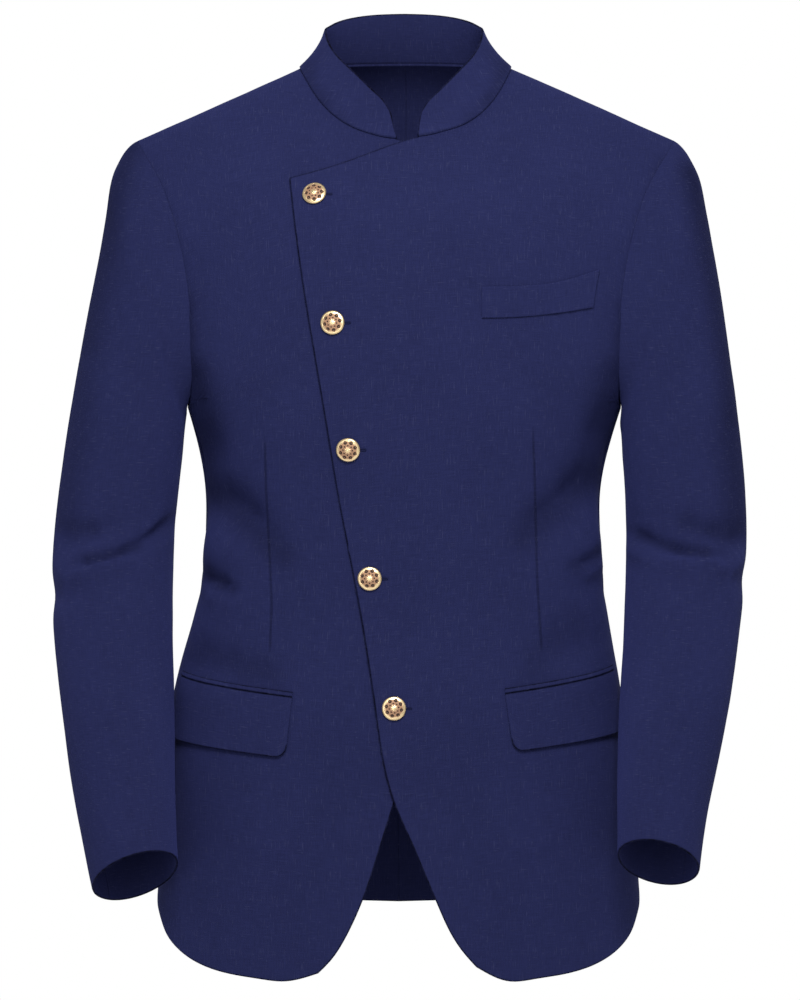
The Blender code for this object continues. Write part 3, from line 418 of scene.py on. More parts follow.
class Spline:
    """A natural cubic spline through values at rising knots. Past its ends it keeps its end values."""

    def __init__(self, knots, values):
        self.knots, self.values = np.array(knots, float), np.array(values, float)
        gaps, count = np.diff(self.knots), len(self.knots)
        slopes = np.diff(self.values, axis=0) / gaps.reshape(-1, *[1] * (self.values.ndim - 1))
        system, right = np.eye(count), np.zeros_like(self.values)
        for i in range(1, count - 1):
            system[i, i - 1 : i + 2] = gaps[i - 1], 2 * (gaps[i - 1] + gaps[i]), gaps[i]
            right[i] = 6 * (slopes[i] - slopes[i - 1])
        self.bends = np.linalg.solve(system, right.reshape(count, -1)).reshape(self.values.shape)

    def __call__(self, at):
        at = np.clip(np.asarray(at, float), self.knots[0], self.knots[-1])
        left = np.clip(np.searchsorted(self.knots, at) - 1, 0, len(self.knots) - 2)
        gap = self.knots[left + 1] - self.knots[left]
        share = (at - self.knots[left]) / gap
        shape = np.shape(at) + (1,) * (self.values.ndim - 1)
        gap, share = np.reshape(gap, shape), np.reshape(share, shape)
        ends = self.values[left] * (1 - share) + self.values[left + 1] * share
        before = self.bends[left] * ((1 - share) ** 3 - (1 - share))
        after = self.bends[left + 1] * (share**3 - share)
        return ends + gap**2 / 6 * (before + after)


def through(points):
    """A smooth path through points, from 0 at the first to 1 at the last, even in length."""
    points = np.array(points, float)
    lengths = lengths_along(points, 0)
    return Spline(lengths / lengths[-1], points)


def through_angles(rows):
    """A smooth path through (angle, height) rows, even in length on the torso."""
    path = through([(angle * TORSO_DEGREE, height) for angle, height in rows])
    return lambda share: path(share) / np.array([TORSO_DEGREE, 1.0])


heights, *columns = np.array(TORSO).T
half_width, *reaches = (Spline(heights, column) for column in columns)
reach = dict(zip(("front", "back"), reaches))
facing = {"front": -1.0, "back": 1.0}
sway, neckline, collar_top = (Spline(*np.array(rows).T) for rows in (SWAY, NECKLINE, COLLAR_TOP))


def shoulder_height(x):
    """Height of the shoulder line over x: straight, and rounded across the neck."""
    x = np.abs(x)
    across_neck = (NECK_HALF_WIDTH**2 - np.minimum(x, NECK_HALF_WIDTH) ** 2) / (2 * NECK_HALF_WIDTH)
    return NECK_SIDE_HEIGHT + SHOULDER_SLOPE * (across_neck - np.maximum(x - NECK_HALF_WIDTH, 0))


def squared_depth(side, x, z):
    """The square of how far the torso form lies in front of or behind the shoulder line."""
    across = np.clip(1 - np.abs(x / half_width(z)) ** SQUARENESS, 0, None) ** (2 / SQUARENESS)
    below = (shoulder_height(x) - z) / SHOULDER_ROUNDING[side]
    return reach[side](z) ** 2 * across * (1 - np.clip(1 - below, 0, None) ** 2)


def torso_normal(side, x, y, z):
    """The outward direction of the torso form at a point on it."""
    limit = 0.9995 * half_width(z)
    inside = np.clip(x, -limit, limit)
    slope_x = squared_depth(side, inside + STEP, z) - squared_depth(side, inside - STEP, z)
    slope_z = squared_depth(side, inside, z + STEP) - squared_depth(side, inside, z - STEP)
    normal = stacked(-slope_x, 4 * STEP * y, -slope_z)
    return normal / np.linalg.norm(normal, axis=-1, keepdims=True)


def trough(at, start, end, depth, width):
    """How deep a soft trough from start to end is at points."""
    start, end = np.array(start), np.array(end)
    along = end - start
    share = clamped(((at - start) @ along) / (along @ along))
    away = np.linalg.norm(at - (start + share[..., None] * along), axis=-1)
    return depth * bell(away, width) * (0.35 + 0.65 * np.sin(math.pi * share))


def crease(at, depth, width, path):
    """A sharper crease along a path, with a low ridge below it. It fades out and varies along its length."""
    fine = through(path)(np.linspace(0, 1, PATH_SAMPLES))
    share = np.linspace(0, 1, len(fine))
    gap = at[..., None, :] - fine
    away = np.linalg.norm(gap, axis=-1)
    nearest = away.argmin(axis=-1)
    away = away.min(axis=-1)
    above = np.take_along_axis(gap[..., 1], nearest[..., None], axis=-1)[..., 0]
    strength = np.sin(math.pi * clamped(0.06 + 0.88 * share[nearest])) ** 0.6
    strength = strength * (1 + 0.25 * np.sin(17.0 * share[nearest] + 90.0 * path[0][0]))
    ridge = 0.55 * bell(away - 2.1 * width, 1.3 * width) * (above < 0)
    return depth * strength * (bell(away, width) - ridge)


def creases_at(x, z, normal, creases):
    """The depth of all the creases at each (x, z). They fade out where the cloth turns away to the side."""
    depth = np.zeros(x.shape)
    at = stacked(x, z)
    for deep, width, path in creases:
        low, high = np.min(path, axis=0) - 5 * width, np.max(path, axis=0) + 5 * width
        near = np.all((at > low) & (at < high), axis=-1)
        depth[near] += crease(at[near], deep, width, path)
    return clamped(np.abs(normal[..., 1]) / CREASE_FACING) * depth


def away_from(path, points, count=PATH_SAMPLES):
    """How far points are from a path of (x, z), seen from the front."""
    away = np.ones(points.shape[:-1])
    for x, z in through(path)(np.linspace(0, 1, count)):
        away = np.minimum(away, np.hypot(points[..., 0] - x, points[..., 2] - z))
    return away


def light_on(points, normal, shades):
    """The share of its colour that the cloth keeps under the painted shade at points. The shades fade out on
    the back.
    """
    faces_front = np.interp(normal[..., 1], SHADE_FACING, (1, 0))
    light = np.ones(points.shape[:-1])
    for share, *lengths in shades:
        width, path = metres(lengths)
        light = light * (1 - share * faces_front * bell(away_from(path, points), width))
    return light


def ripple(points):
    """The cloth's slight unevenness at points."""
    flat = points.reshape(-1, 3) / RIPPLE_SIZE
    values = [noise.noise(Vector(p)) + 0.5 * noise.noise(Vector(p * 2.3)) for p in flat]
    return RIPPLE * np.array(values).reshape(points.shape[:-1])


def form_excess(points):
    """How far points are outside the torso form, as a share that is 0 on it."""
    x, y, z = points[..., 0] - sway(points[..., 2]), points[..., 1], points[..., 2]
    excess = np.zeros(x.shape)
    for side, here in (("front", y <= 0), ("back", y > 0)):
        below = np.clip((shoulder_height(x) - z) / SHOULDER_ROUNDING[side], 0.001, 1)
        depth = reach[side](z) * np.sqrt(1 - (1 - below) ** 2)
        value = np.abs(x / half_width(z)) ** SQUARENESS + np.abs(y / depth) ** SQUARENESS - 1
        excess = np.where(here, value, excess)
    return excess


def kept_clear(points, clearance):
    """The points, with those nearer to the torso form than the clearance moved straight away from it."""
    for _ in range(3):
        rises = [form_excess(points + STEP * axis) - form_excess(points - STEP * axis) for axis in np.eye(3)]
        slope = np.stack(rises, axis=-1) / (2 * STEP)
        steepness = np.linalg.norm(slope, axis=-1)
        short = np.clip(clearance - form_excess(points) / steepness, 0, None)
        points = points + slope / steepness[..., None] * short[..., None]
    return points


def softened(grid):
    """A grid of shifts round a sleeve and down it, with each averaged with its neighbours."""
    for _ in range(CLEARING_PASSES):
        grid = (2 * grid + np.roll(grid, 1, axis=0) + np.roll(grid, -1, axis=0)) / 4
        padded = np.concatenate([grid[:, :1], grid, grid[:, -1:]], axis=1)
        grid = (2 * grid + padded[:, :-2] + padded[:, 2:]) / 4
    return grid


def torso_point(side, hand, angle, z, lift=0.0):
    """Points on the torso's surface at angles from its middle, and heights, and the normals there.

    hand is 1 on the wearer's left and -1 on the right. The points are moved out by lift.
    """
    x = half_width(z) * np.sin(np.radians(angle))
    y = facing[side] * np.sqrt(np.clip(squared_depth(side, x, z), 0, None))
    normal = torso_normal(side, x, y, z)
    point = stacked(x, y, z)
    x, z = np.broadcast_arrays(x, z)
    at = stacked(np.abs(x), z)
    folds = sum(trough(at, f[0:2], f[2:4], f[4], f[5]) for f in BODY_FOLDS[side])
    relief = folds + creases_at(hand * x, z, normal, BODY_CREASES[side])
    point = point + normal * np.asarray(lift - relief)[..., None]
    point[..., 0] = hand * point[..., 0] + sway(z)
    normal[..., 0] *= hand
    return point, normal


def angle_of(x, z):
    """The angle round the torso of a place as far as x from its middle."""
    return np.degrees(np.arcsin(np.clip(x / half_width(z), -1, 1)))


def to_angles(points):
    """(angle, height) of (x, z) places, with x from the torso's middle."""
    points = np.array(points, float)
    return stacked(angle_of(points[:, 0], points[:, 1]), points[:, 1])


def seen(points, hand=1):
    """(x, z) places seen from the front, with x measured from the torso's middle towards the hand instead."""
    return [(hand * (x - float(sway(z))), z) for x, z in points]


def neck_place(angle):
    """(x, z) of the neckline at an angle from the middle of the front, up to 180 at the back."""
    x = NECK_HALF_WIDTH * math.sin(math.radians(angle))
    if angle <= 90:
        return x, float(neckline(angle))
    depth = NECK_BACK_REACH * math.cos(math.radians(angle))
    low, high = -0.12, float(shoulder_height(x))
    for _ in range(40):
        middle = (low + high) / 2
        if squared_depth("back", x, middle) > depth**2:
            low = middle
        else:
            high = middle
    return x, low


def armhole_path(side):
    """The armhole from the shoulder point, at 0, to the armpit, at 1, as (angle, height)."""
    top = float(shoulder_height(SHOULDER_HALF_WIDTH))
    return through_angles([(angle_of(SHOULDER_HALF_WIDTH, top), top), *ARMHOLE[side], (90, ARMPIT_HEIGHT)])


armhole = {side: armhole_path(side) for side in ARMHOLE}


def fine_steps(start, stop, per_step, rolled=(True, True), edge=(0.015, 0.05, 0.10)):
    """Places from start to stop, per_step to each step, and more of them at the ends whose edge is rolled."""
    places = list(np.linspace(start, stop, round((stop - start) * per_step) + 1))
    places += [start + e for e in edge if rolled[0]] + [stop - e for e in edge if rolled[1]]
    return np.unique(np.round(places, 6))


def side_places(side, steps):
    """(angle, height) up a panel's outer edge: the side seam and then the armhole."""
    seam = np.minimum(steps, SIDE_STEPS) / SIDE_STEPS
    height = SIDE_HEM_HEIGHT + seam * (ARMPIT_HEIGHT - SIDE_HEM_HEIGHT)
    share = clamped((SIDE_STEPS + ARMHOLE_STEPS - steps) / ARMHOLE_STEPS) ** ARMHOLE_CROWDING
    on_seam = (steps <= SIDE_STEPS)[:, None]
    return np.where(on_seam, stacked(90.0, height), armhole[side](share))


def coons(bottom, top, inner, outer, across, up):
    """Fills the space between four edges, each an array of points, with points at shares across and up."""
    across, up = np.array(across)[:, None, None], np.array(up)[None, :, None]
    ruled = bottom[:, None] * (1 - up) + top[:, None] * up + inner[None] * (1 - across) + outer[None] * across
    near_corners = bottom[0] * (1 - up) + top[0] * up
    far_corners = bottom[-1] * (1 - up) + top[-1] * up
    return ruled - near_corners * (1 - across) - far_corners * across


def shoulder_places(shares):
    """(angle, height) along the shoulder seam, from the neck to the shoulder point."""
    x = NECK_HALF_WIDTH + shares * (SHOULDER_HALF_WIDTH - NECK_HALF_WIDTH)
    return to_angles(stacked(x, shoulder_height(x)))


def boundary(cells):
    """The grid edges at the rim of the kept cells, each with the name of the panel's side that it lies on."""
    columns, rows = cells.shape
    padded = np.zeros((columns + 2, rows + 2), bool)
    padded[1:-1, 1:-1] = cells
    edges = []
    for i, j in zip(*np.nonzero(padded[:-1, 1:-1] != padded[1:, 1:-1])):
        edges.append(({0: "start", columns: "end"}.get(i, "neck"), ((i, j), (i, j + 1))))
    for i, j in zip(*np.nonzero(padded[1:-1, :-1] != padded[1:-1, 1:])):
        edges.append(({0: "bottom", rows: "top"}.get(j, "lap"), ((i, j), (i + 1, j))))
    return edges


def distance_to_edge(grid, edges):
    """How far each point of the grid is from the edges."""
    if not edges:
        return np.full(grid.shape[:-1], 1.0)
    tree_points = []
    for first, second in edges:
        a, b = grid[first], grid[second]
        count = max(2, int(np.linalg.norm(b - a) / EDGE_SPACING))
        tree_points.extend(a + (b - a) * s for s in np.linspace(0, 1, count))
    tree = kdtree.KDTree(len(tree_points))
    for n, p in enumerate(tree_points):
        tree.insert(p, n)
    tree.balance()
    return np.array([tree.find(p)[2] for p in grid.reshape(-1, 3)]).reshape(grid.shape[:-1])


def rolled(away, rounding):
    """How far a rounded edge has fallen away, from 1 at the rim to 0 where the rounding ends."""
    near = clamped(1 - away / rounding)
    return 1 - np.sqrt(1 - near**2)


def placed(name, data):
    """A new object in the scene."""
    made = bpy.data.objects.new(name, data)
    bpy.context.scene.collection.objects.link(made)
    return made


def smooth_mesh(name, verts, faces, material, closed=False, **maps):
    """A smoothly shaded mesh with UV maps that give each vertex its (u, v)."""
    mesh = bpy.data.meshes.new(name)
    mesh.from_pydata(verts, [], faces)
    if closed:
        fixed = bmesh.new()
        fixed.from_mesh(mesh)
        bmesh.ops.recalc_face_normals(fixed, faces=fixed.faces[:])
        fixed.to_mesh(mesh)
        fixed.free()
    mesh.shade_smooth()
    corners = np.zeros(len(mesh.loops), dtype=np.int32)
    mesh.loops.foreach_get("vertex_index", corners)
    for map_name, values in maps.items():
        layer = mesh.uv_layers.new(name=map_name)
        layer.data.foreach_set("uv", np.asarray(values, np.float32)[corners].ravel())
    mesh.materials.append(material)
    return mesh


def shell(
    node, outer, normal, thickness, material, flat, weave=None, left_out=None, rounding=EDGE_ROUNDING,
    seams=(), pale=(), dart=None, light=None
):
    """A closed shell of cloth that stands for a node's solid, and its cut.

    Its free edges are rolled, with a line of painted shade along them, and its seams are shallow grooves.
    flat and weave hold each point's place in the cut and in the weave. seams names the sides that are sewn to
    others, and pale the free sides that get no painted shade. left_out is the column and row at which the
    grid's empty corner starts.
    """
    columns, rows = outer.shape[:2]
    cells = np.ones((columns - 1, rows - 1), bool)
    if left_out is not None:
        cells[: left_out[0], left_out[1] :] = False
    rim = boundary(cells)

    def distance(grid, kept):
        return distance_to_edge(grid, [edge for side, edge in rim if kept(side)])

    away = distance(outer, lambda side: side not in seams)
    from_seam = distance(outer, lambda side: side in seams)
    groove = SEAM_SINK * rolled(from_seam, SEAM_ROUNDING)
    sunk = EDGE_FALL * thickness * np.maximum(rolled(away, rounding), groove)
    inner = outer - normal * (thickness - sunk)[..., None]
    face = outer - normal * sunk[..., None]
    # Painted shade along the free edges that aren't pale, reaching farther along the lap's edge
    from_shaded_edge = distance(face, lambda side: side not in (*seams, *pale)) if pale else away
    if left_out is not None:
        from_shaded_edge = np.minimum(from_shaded_edge, 0.6 * distance(face, lambda side: side == "lap"))

    i, j = np.nonzero(cells)
    used = np.zeros((columns, rows), bool)
    for a, b in ((i, j), (i + 1, j), (i + 1, j + 1), (i, j + 1)):
        used[a, b] = True
    count = used.sum()
    index = np.full((columns, rows), -1)
    index[used] = np.arange(count)
    quad = stacked(index[i, j], index[i + 1, j], index[i + 1, j + 1], index[i, j + 1])
    corner, beside, across = face[i[0], j[0]], face[i[0] + 1, j[0]], face[i[0] + 1, j[0] + 1]
    if np.cross(beside - corner, across - beside) @ normal[i[0], j[0]] < 0:
        quad = quad[:, ::-1]
    faces = np.concatenate([quad, quad[:, ::-1] + count]).tolist()
    for _, (first, second) in rim:
        p, q = index[first], index[second]
        faces.append((p, q, q + count, p + count))

    none = np.ones((columns, rows, 2))
    dart = none if dart is None else dart
    light = none if light is None else stacked(light, light)
    weave = flat if weave is None else weave
    grids = {"cut": weave, "dart": dart, "light": light, "rim": stacked(from_shaded_edge, from_seam)}
    maps = {name: np.tile(grid[used], (2, 1)) for name, grid in grids.items()}
    maps["dart"][count:] = 1
    name = f"cloth_{node}"
    verts = np.concatenate([face[used], inner[used]]).tolist()
    piece = placed(name, smooth_mesh(name, verts, faces, material, closed=True, **maps))
    dress(piece, node)
    return piece, (flat, outer, cells)


def dress(piece, node):
    """The piece rides with the jacket and stands for its solid."""
    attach(piece, "root")
    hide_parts(node)


section = np.radians(np.linspace(0, 90, 181))
section_x = np.sin(section)
section_y = (1 - section_x**SQUARENESS).clip(0) ** (1 / SQUARENESS)


def girth(side, angle, z):
    """How far round the torso an angle is from the middle."""
    width = half_width(z)
    height_ratio = np.round(reach[side](z) / width, 2)
    around = np.zeros(np.shape(angle))
    for ratio in np.unique(height_ratio):
        steps = np.hypot(np.diff(section_x), ratio * np.diff(section_y))
        lengths = np.concatenate([[0], np.cumsum(steps)])
        here = height_ratio == ratio
        around[here] = np.sign(angle[here]) * np.interp(np.abs(angle[here]), np.degrees(section), lengths)
    return around * width


def dart_marks(hand_name, outer):
    """Each point's distance across the dart and share along it. On the front beneath the overlap, a painted
    shadow line along the overlap's edge is drawn like a dart.
    """
    line = np.array(DARTS[hand_name])
    x, z = outer[..., 0], outer[..., 2]
    gap = x - np.interp(z, line[::-1, 1], line[::-1, 0])
    share = (z - line[-1, 1]) / (line[0, 1] - line[-1, 1])
    # The overlap's painted shadow on the front beneath it, through the dart map
    if hand_name == "right":
        from_lap = np.minimum(*(away_from(path, outer, LAP_SAMPLES) for path in (OVERLAP_EDGE, OVERLAP_TOP)))
        edge, top = np.array(OVERLAP_EDGE), np.array(OVERLAP_TOP)
        edge = edge[np.argsort(edge[:, 1])]
        under = (x > np.interp(z, edge[:, 1], edge[:, 0])) & (z < np.interp(x, top[:, 0], top[:, 1]))
        near_lap = from_lap < np.abs(gap)
        gap = np.where(near_lap, np.where(under, -from_lap, from_lap), gap)
        share = np.where(near_lap, 0.5, share)
    return stacked(gap, share)


def body_panel(name, side, hand, places, lift, left_out):
    """A front or a back, and its cut."""
    outer, normal = torso_point(side, hand, places[..., 0], places[..., 1], lift)
    outer = outer + normal * ripple(outer)[..., None]
    up = lengths_along(outer, 1) + outer[:, :1, 2]
    flat = stacked(girth(side, places[..., 0], places[..., 1]), up)
    dart = dart_marks("left" if hand == 1 else "right", outer) if side == "front" else None
    seams = ("end", "top", "neck") if side == "front" else ("start", "end", "top")
    # Painted shade at the fronts' folds and armholes; the backs have none
    light = light_on(outer, normal, SHADES.get(side, ()))
    return shell(
        name, outer, normal, CLOTH, navy, flat, left_out=left_out, seams=seams, dart=dart, light=light
    )


def front_places(edge_points, top_points, neck_angle):
    """(angle, height) places of a front, from its free edge to the side seam, and from hem to shoulder."""
    last_row = SIDE_STEPS + ARMHOLE_STEPS
    lap_rows = last_row - NOTCH_STEP
    columns = LAP_STEPS + FRONT_STEPS
    edge = (0.02, 0.06, 0.13)
    lap = fine_steps(0, LAP_STEPS, 4, rolled=(True, False), edge=edge)
    rest = fine_steps(LAP_STEPS, columns, 6)
    below = fine_steps(0, SIDE_STEPS, 6, rolled=(True, False))
    below = np.union1d(below, fine_steps(SIDE_STEPS, lap_rows, 5))
    above = fine_steps(lap_rows, last_row, 5, rolled=(False, True), edge=edge)

    turn = edge_points[-1]
    outer = side_places("front", below)
    share = below / lap_rows
    lower_shift, upper_shift = turn[1] - outer[0, 1], edge_points[0][1] - outer[-1, 1]
    wanted = outer[:, 1] + lower_shift * (1 - share) + upper_shift * share
    samples = through(edge_points)(np.linspace(0, 1, EDGE_SAMPLES))
    samples = samples[np.argsort(samples[:, 1])]
    inner = to_angles(stacked(np.interp(wanted, samples[:, 1], samples[:, 0]), wanted))

    across = np.concatenate([lap, rest[1:]]) / columns
    bottom = through_angles([tuple(to_angles([turn])[0]), *FRONT_HEM, (90, SIDE_HEM_HEIGHT)])(across)
    lap_top = to_angles(through([*top_points, neck_place(neck_angle)])(lap / LAP_STEPS))
    rest_share = (rest - LAP_STEPS) / FRONT_STEPS
    middle = lap_top[-1] + rest_share[:, None] * (outer[-1] - lap_top[-1])
    lower = coons(bottom, np.concatenate([lap_top, middle[1:]]), inner, outer, across, share)

    rise = (above - lap_rows) / NOTCH_STEP
    neck = to_angles([neck_place(neck_angle + s * (90 - neck_angle)) for s in rise])
    upper = coons(middle, shoulder_places(rest_share), neck, side_places("front", above), rest_share, rise)
    column, row = len(lap) - 1, len(below) - 1
    places = np.zeros((len(across), row + len(above), 2))
    places[:, : row + 1] = lower
    places[column:, row:] = upper
    places[:column, row + 1 :] = lower[:column, -1:]
    return places, (column, row)


def lap_lift(x):
    """How far the overlapping front stands out over the other one."""
    share = clamped((LAP_NONE_X - x) / (LAP_NONE_X - LAP_FULL_X))
    return (CLOTH + LAP_GAP) * share**2 * (3 - 2 * share)


def back_places():
    """(angle, height) places of one back, from its middle to the side seam, and from hem to shoulder."""
    columns = BACK_NECK_STEPS + FRONT_STEPS
    across = fine_steps(0, columns, 6)
    rows = np.union1d(fine_steps(0, SIDE_STEPS, 6), fine_steps(SIDE_STEPS, SIDE_STEPS + ARMHOLE_STEPS, 5))
    outer = side_places("back", rows)
    at_neck = across < BACK_NECK_STEPS
    neck = to_angles([neck_place(180 - 90 * s) for s in across[at_neck] / BACK_NECK_STEPS])
    top = np.concatenate([neck, shoulder_places((across[~at_neck] - BACK_NECK_STEPS) / FRONT_STEPS)])
    share = across / columns
    bottom = stacked(90 * share, BACK_HEM_HEIGHT)
    rise = (outer[:, 1] - outer[0, 1]) / (outer[-1, 1] - outer[0, 1])
    inner = stacked(0.0, BACK_HEM_HEIGHT + rise * (neck[0, 1] - BACK_HEM_HEIGHT))
    return coons(bottom, top, inner, outer, share, rows / rows[-1])


def ring_share(steps):
    """The share of the armhole at steps round it, and whether they are on its front half."""
    steps = np.mod(steps, 2 * ARMHOLE_STEPS)
    in_front = steps <= ARMHOLE_STEPS
    along = np.where(in_front, steps, 2 * ARMHOLE_STEPS - steps) / ARMHOLE_STEPS
    return along**ARMHOLE_CROWDING, in_front


def signed(steps):
    """The same steps round the ring, counted both ways from the top of the sleeve."""
    return np.mod(steps + ARMHOLE_STEPS - 1e-9, 2 * ARMHOLE_STEPS) - ARMHOLE_STEPS + 1e-9


def armhole_ring(hand, steps):
    """The armhole's points at steps round it, and the body's normals there."""
    share, in_front = ring_share(steps)
    both = [torso_point(side, hand, *armhole[side](share).T) for side in ("front", "back")]
    point, normal = (np.where(in_front[:, None], front, back) for front, back in zip(*both))
    return point + normal * ripple(point)[:, None], normal


def sleeve_ring(hand, angles, row, shape):
    """The sleeve's points at angles from its outer side, round through the front."""
    outer_x, outer_z, inner_x, inner_z, middle_y = row
    half_depth, pitch, taper = shape
    outer = np.array([hand * outer_x, middle_y, outer_z])
    inner = np.array([hand * inner_x, middle_y, inner_z])
    pitch = math.radians(pitch)
    front = half_depth * np.array([0.0, -math.cos(pitch), math.sin(pitch)])
    turn = np.radians(angles)[:, None]
    depth = np.sin(turn) * (1 - taper * np.cos(turn))
    return (outer + inner) / 2 + np.cos(turn) * (outer - inner) / 2 + depth * front


def sleeve_relief(hand_name, angles, points, normal):
    """The depth of the sleeve's folds at its points."""
    x, z = points[..., 0], points[..., 2]
    depth = np.zeros(x.shape)
    for start, start_z, end, end_z, deep, width in SLEEVE_FOLDS[hand_name]:
        for turn in (-360, 0, 360):
            at = stacked((angles[:, None] + turn) * SLEEVE_DEGREE, z)
            depth += trough(at, (start * SLEEVE_DEGREE, start_z), (end * SLEEVE_DEGREE, end_z), deep, width)
    front = clamped(3 * np.sin(np.radians(angles)) + 0.5)[:, None]
    for half, shown in (("front", front), ("back", 1 - front)):
        depth += shown * creases_at(x, z, normal, SLEEVE_CREASES[hand_name][half])
    return depth


def grid_normals(grid, wrap):
    """A grid's normals, and its steps along. wrap is for one whose first column follows its last one."""
    round_it = np.roll(grid, -1, axis=0) - np.roll(grid, 1, axis=0) if wrap else np.gradient(grid, axis=0)
    down = np.gradient(grid, axis=1)
    return unit(np.cross(round_it, down)), down


def sleeve_grid(hand_name, steps, rows):
    """The sleeve's outer points and normals at steps round it, and rows from armhole to cuff."""
    hand = HANDS[hand_name]
    share, in_front = ring_share(steps)
    angles = np.where(in_front, 180 * share, 360 - 180 * share)
    first, body_normals = armhole_ring(hand, steps)
    rings = [first] + [sleeve_ring(hand, angles, *row) for row in zip(SLEEVES[hand_name], SLEEVE_SHAPE)]
    lengths = lengths_along(np.array([ring.mean(axis=0) for ring in rings]), 0)
    along = Spline(lengths / lengths[-1], np.array(rings))
    outer = along((rows / SLEEVE_STEPS) ** SLEEVE_CROWDING).transpose(1, 0, 2)
    turned = signed(steps)
    near_top = np.abs(turned) < 1
    ends = [outer[np.argmin(np.abs(turned - step))] for step in (-1, 1)]
    evened = ends[0] + (turned[near_top, None, None] + 1) / 2 * (ends[1] - ends[0])
    outer[near_top] += (evened - outer[near_top]) * bell(rows - 3.0, 0.8)[:, None]
    normal, down = grid_normals(outer, wrap=True)
    normal = normal * hand
    relief = sleeve_relief(hand_name, angles, outer, normal) - ripple(outer)
    upper = clamped(np.cos(np.radians(angles)) + 0.35)[:, None]
    roll = SLEEVE_HEAD_ROLL * upper * bell(rows - 1.0, 0.9) * clamped(rows / 0.5)
    outer = outer - normal * (relief * clamped(rows / 2) - roll)[..., None]

    away = unit(np.cross(np.roll(first, -1, axis=0) - np.roll(first, 1, axis=0), body_normals)) * -hand
    doubled_back = clamped(-np.sum(unit(down[:, 0]) * away, axis=-1, keepdims=True))
    shift = body_normals * SLEEVE_LAP * doubled_back - away * SEAM_TUCK
    outer = outer + shift[:, None] * clamped(1 - rows / 1.5)[:, None]
    clearance = np.interp(rows, (0, 1, 5), (0.0, SLEEVE_LAP, SLEEVE_CLEARANCE))
    turned_in = (math.cos(math.radians(SLEEVE_CLEAR_FROM)) - np.cos(np.radians(angles))) / 0.5
    inward = (clamped(turned_in)[:, None] * clamped(rows / 0.5))[..., None]
    outer = outer + softened((kept_clear(outer, clearance) - outer) * inward) * clamped(rows)[:, None]
    outer = outer + (kept_clear(outer, 0.6 * clearance) - outer) * inward
    normal = grid_normals(outer, wrap=True)[0] * hand
    towards_body = np.clip(np.sum(normal[:, 0] * away, axis=-1, keepdims=True), 0, None)
    normal[:, 0] = unit(normal[:, 0] - towards_body * away)
    return outer, normal


def sleeve_weave(hand_name, part):
    """Places in a sleeve's weave: round its middle line, and by height, so that threads lie level."""
    x, y, z = part[..., 0], part[..., 1], part[..., 2]
    outer_x, outer_z, inner_x, inner_z, middle_y = np.array(SLEEVES[hand_name]).T
    levels = -(outer_z + inner_z) / 2
    middle_x = np.interp(-z, levels, (outer_x + inner_x) / 2)
    turn = np.arctan2(np.interp(-z, levels, middle_y) - y, HANDS[hand_name] * x - middle_x)
    turn = np.unwrap(np.unwrap(turn, axis=1), axis=0)
    return stacked(turn * SLEEVE_RADIUS, z)


def collar_point(hand, angle, share_up):
    """A point of the collar at an angle from the middle of the front, and a share of its height."""
    side = "front" if angle <= 90 else "back"
    x, z = neck_place(angle)
    lift = lap_lift(x) if side == "front" and hand == 1 else 0.0
    place = torso_point(side, hand, angle_of(x, z), np.array(z), lift)[0]
    turn = math.radians(angle)
    high = float(collar_top(angle))
    aside = hand * COLLAR_TOP_HALF_WIDTH * math.sin(turn) + float(sway(high))
    top = np.array([aside, -COLLAR_TOP_REACH[side] * math.cos(turn), high])
    hollow = 4 * COLLAR_HOLLOW * share_up * (1 - share_up)
    point = place * (1 - share_up) + top * share_up
    return point - hollow * np.array([hand * math.sin(turn), -math.cos(turn), 0.0])


def collar_half(hand_name, shares):
    """Points of half the collar, from its front end to the middle of the back, and from the seam up."""
    low_end, high_end = COLLAR_ENDS[hand_name]
    corner = math.degrees(COLLAR_CORNER / NECK_HALF_WIDTH)
    near_end = low_end + corner * np.array([0, 0.03, 0.09, 0.18, 0.30, 0.45, 0.6, 0.8, 1.0, 1.25, 1.6])
    angles = np.concatenate([near_end, np.arange(math.ceil(near_end[-1]) + 2, 180, 2.5), [180.0]])
    grid = np.zeros((len(angles), len(shares), 3))
    for i, angle in enumerate(angles):
        near = clamped((angle - low_end) / corner)
        full = 1 - COLLAR_CORNER_DROP * (1 - math.sqrt(1 - (1 - near) ** 2))
        tuck = np.interp(angle, (80, 120), (1.0, 2.4))
        for j, share in enumerate(shares):
            up = full * share if share > 0 else tuck * share
            swing = (high_end - low_end) * up * (180 - angle) / (180 - low_end)
            grid[i, j] = collar_point(HANDS[hand_name], angle + swing, up)
    return grid


def patch(name, hand, places, base, thickness, material, rounding, pale):
    """A piece that lies on a front, with its points at places moved out by base, and its cut."""
    angles, levels = places[..., 0], places[..., 1]
    lap = lap_lift(half_width(levels) * np.sin(np.radians(angles))) if hand == 1 else 0.0
    outer, normal = torso_point("front", hand, angles, levels, lap + base + thickness)
    return shell(name, outer, normal, thickness, material, unrolled(outer), rounding=rounding, pale=pale)


def put(tree, made, **inputs):
    """Gives a node's inputs, by name or by number after an i, their values or links."""
    for name, value in inputs.items():
        numbered = name[0] == "i" and name[1:].isdigit()
        socket = made.inputs[int(name[1:]) if numbered else name.replace("_", " ")]
        if isinstance(value, bpy.types.NodeSocket):
            tree.links.new(value, socket)
        else:
            socket.default_value = value


def node(tree, kind, settings=None, **inputs):
    """A shader node with its settings and inputs."""
    made = tree.nodes.new("ShaderNode" + kind)
    for name, value in (settings or {}).items():
        setattr(made, name, value)
    put(tree, made, **inputs)
    return made


def new_material(name):
    """A material, its tree and its shader."""
    material = bpy.data.materials.new(name)
    material.use_nodes = True
    return material, material.node_tree, material.node_tree.nodes["Principled BSDF"]


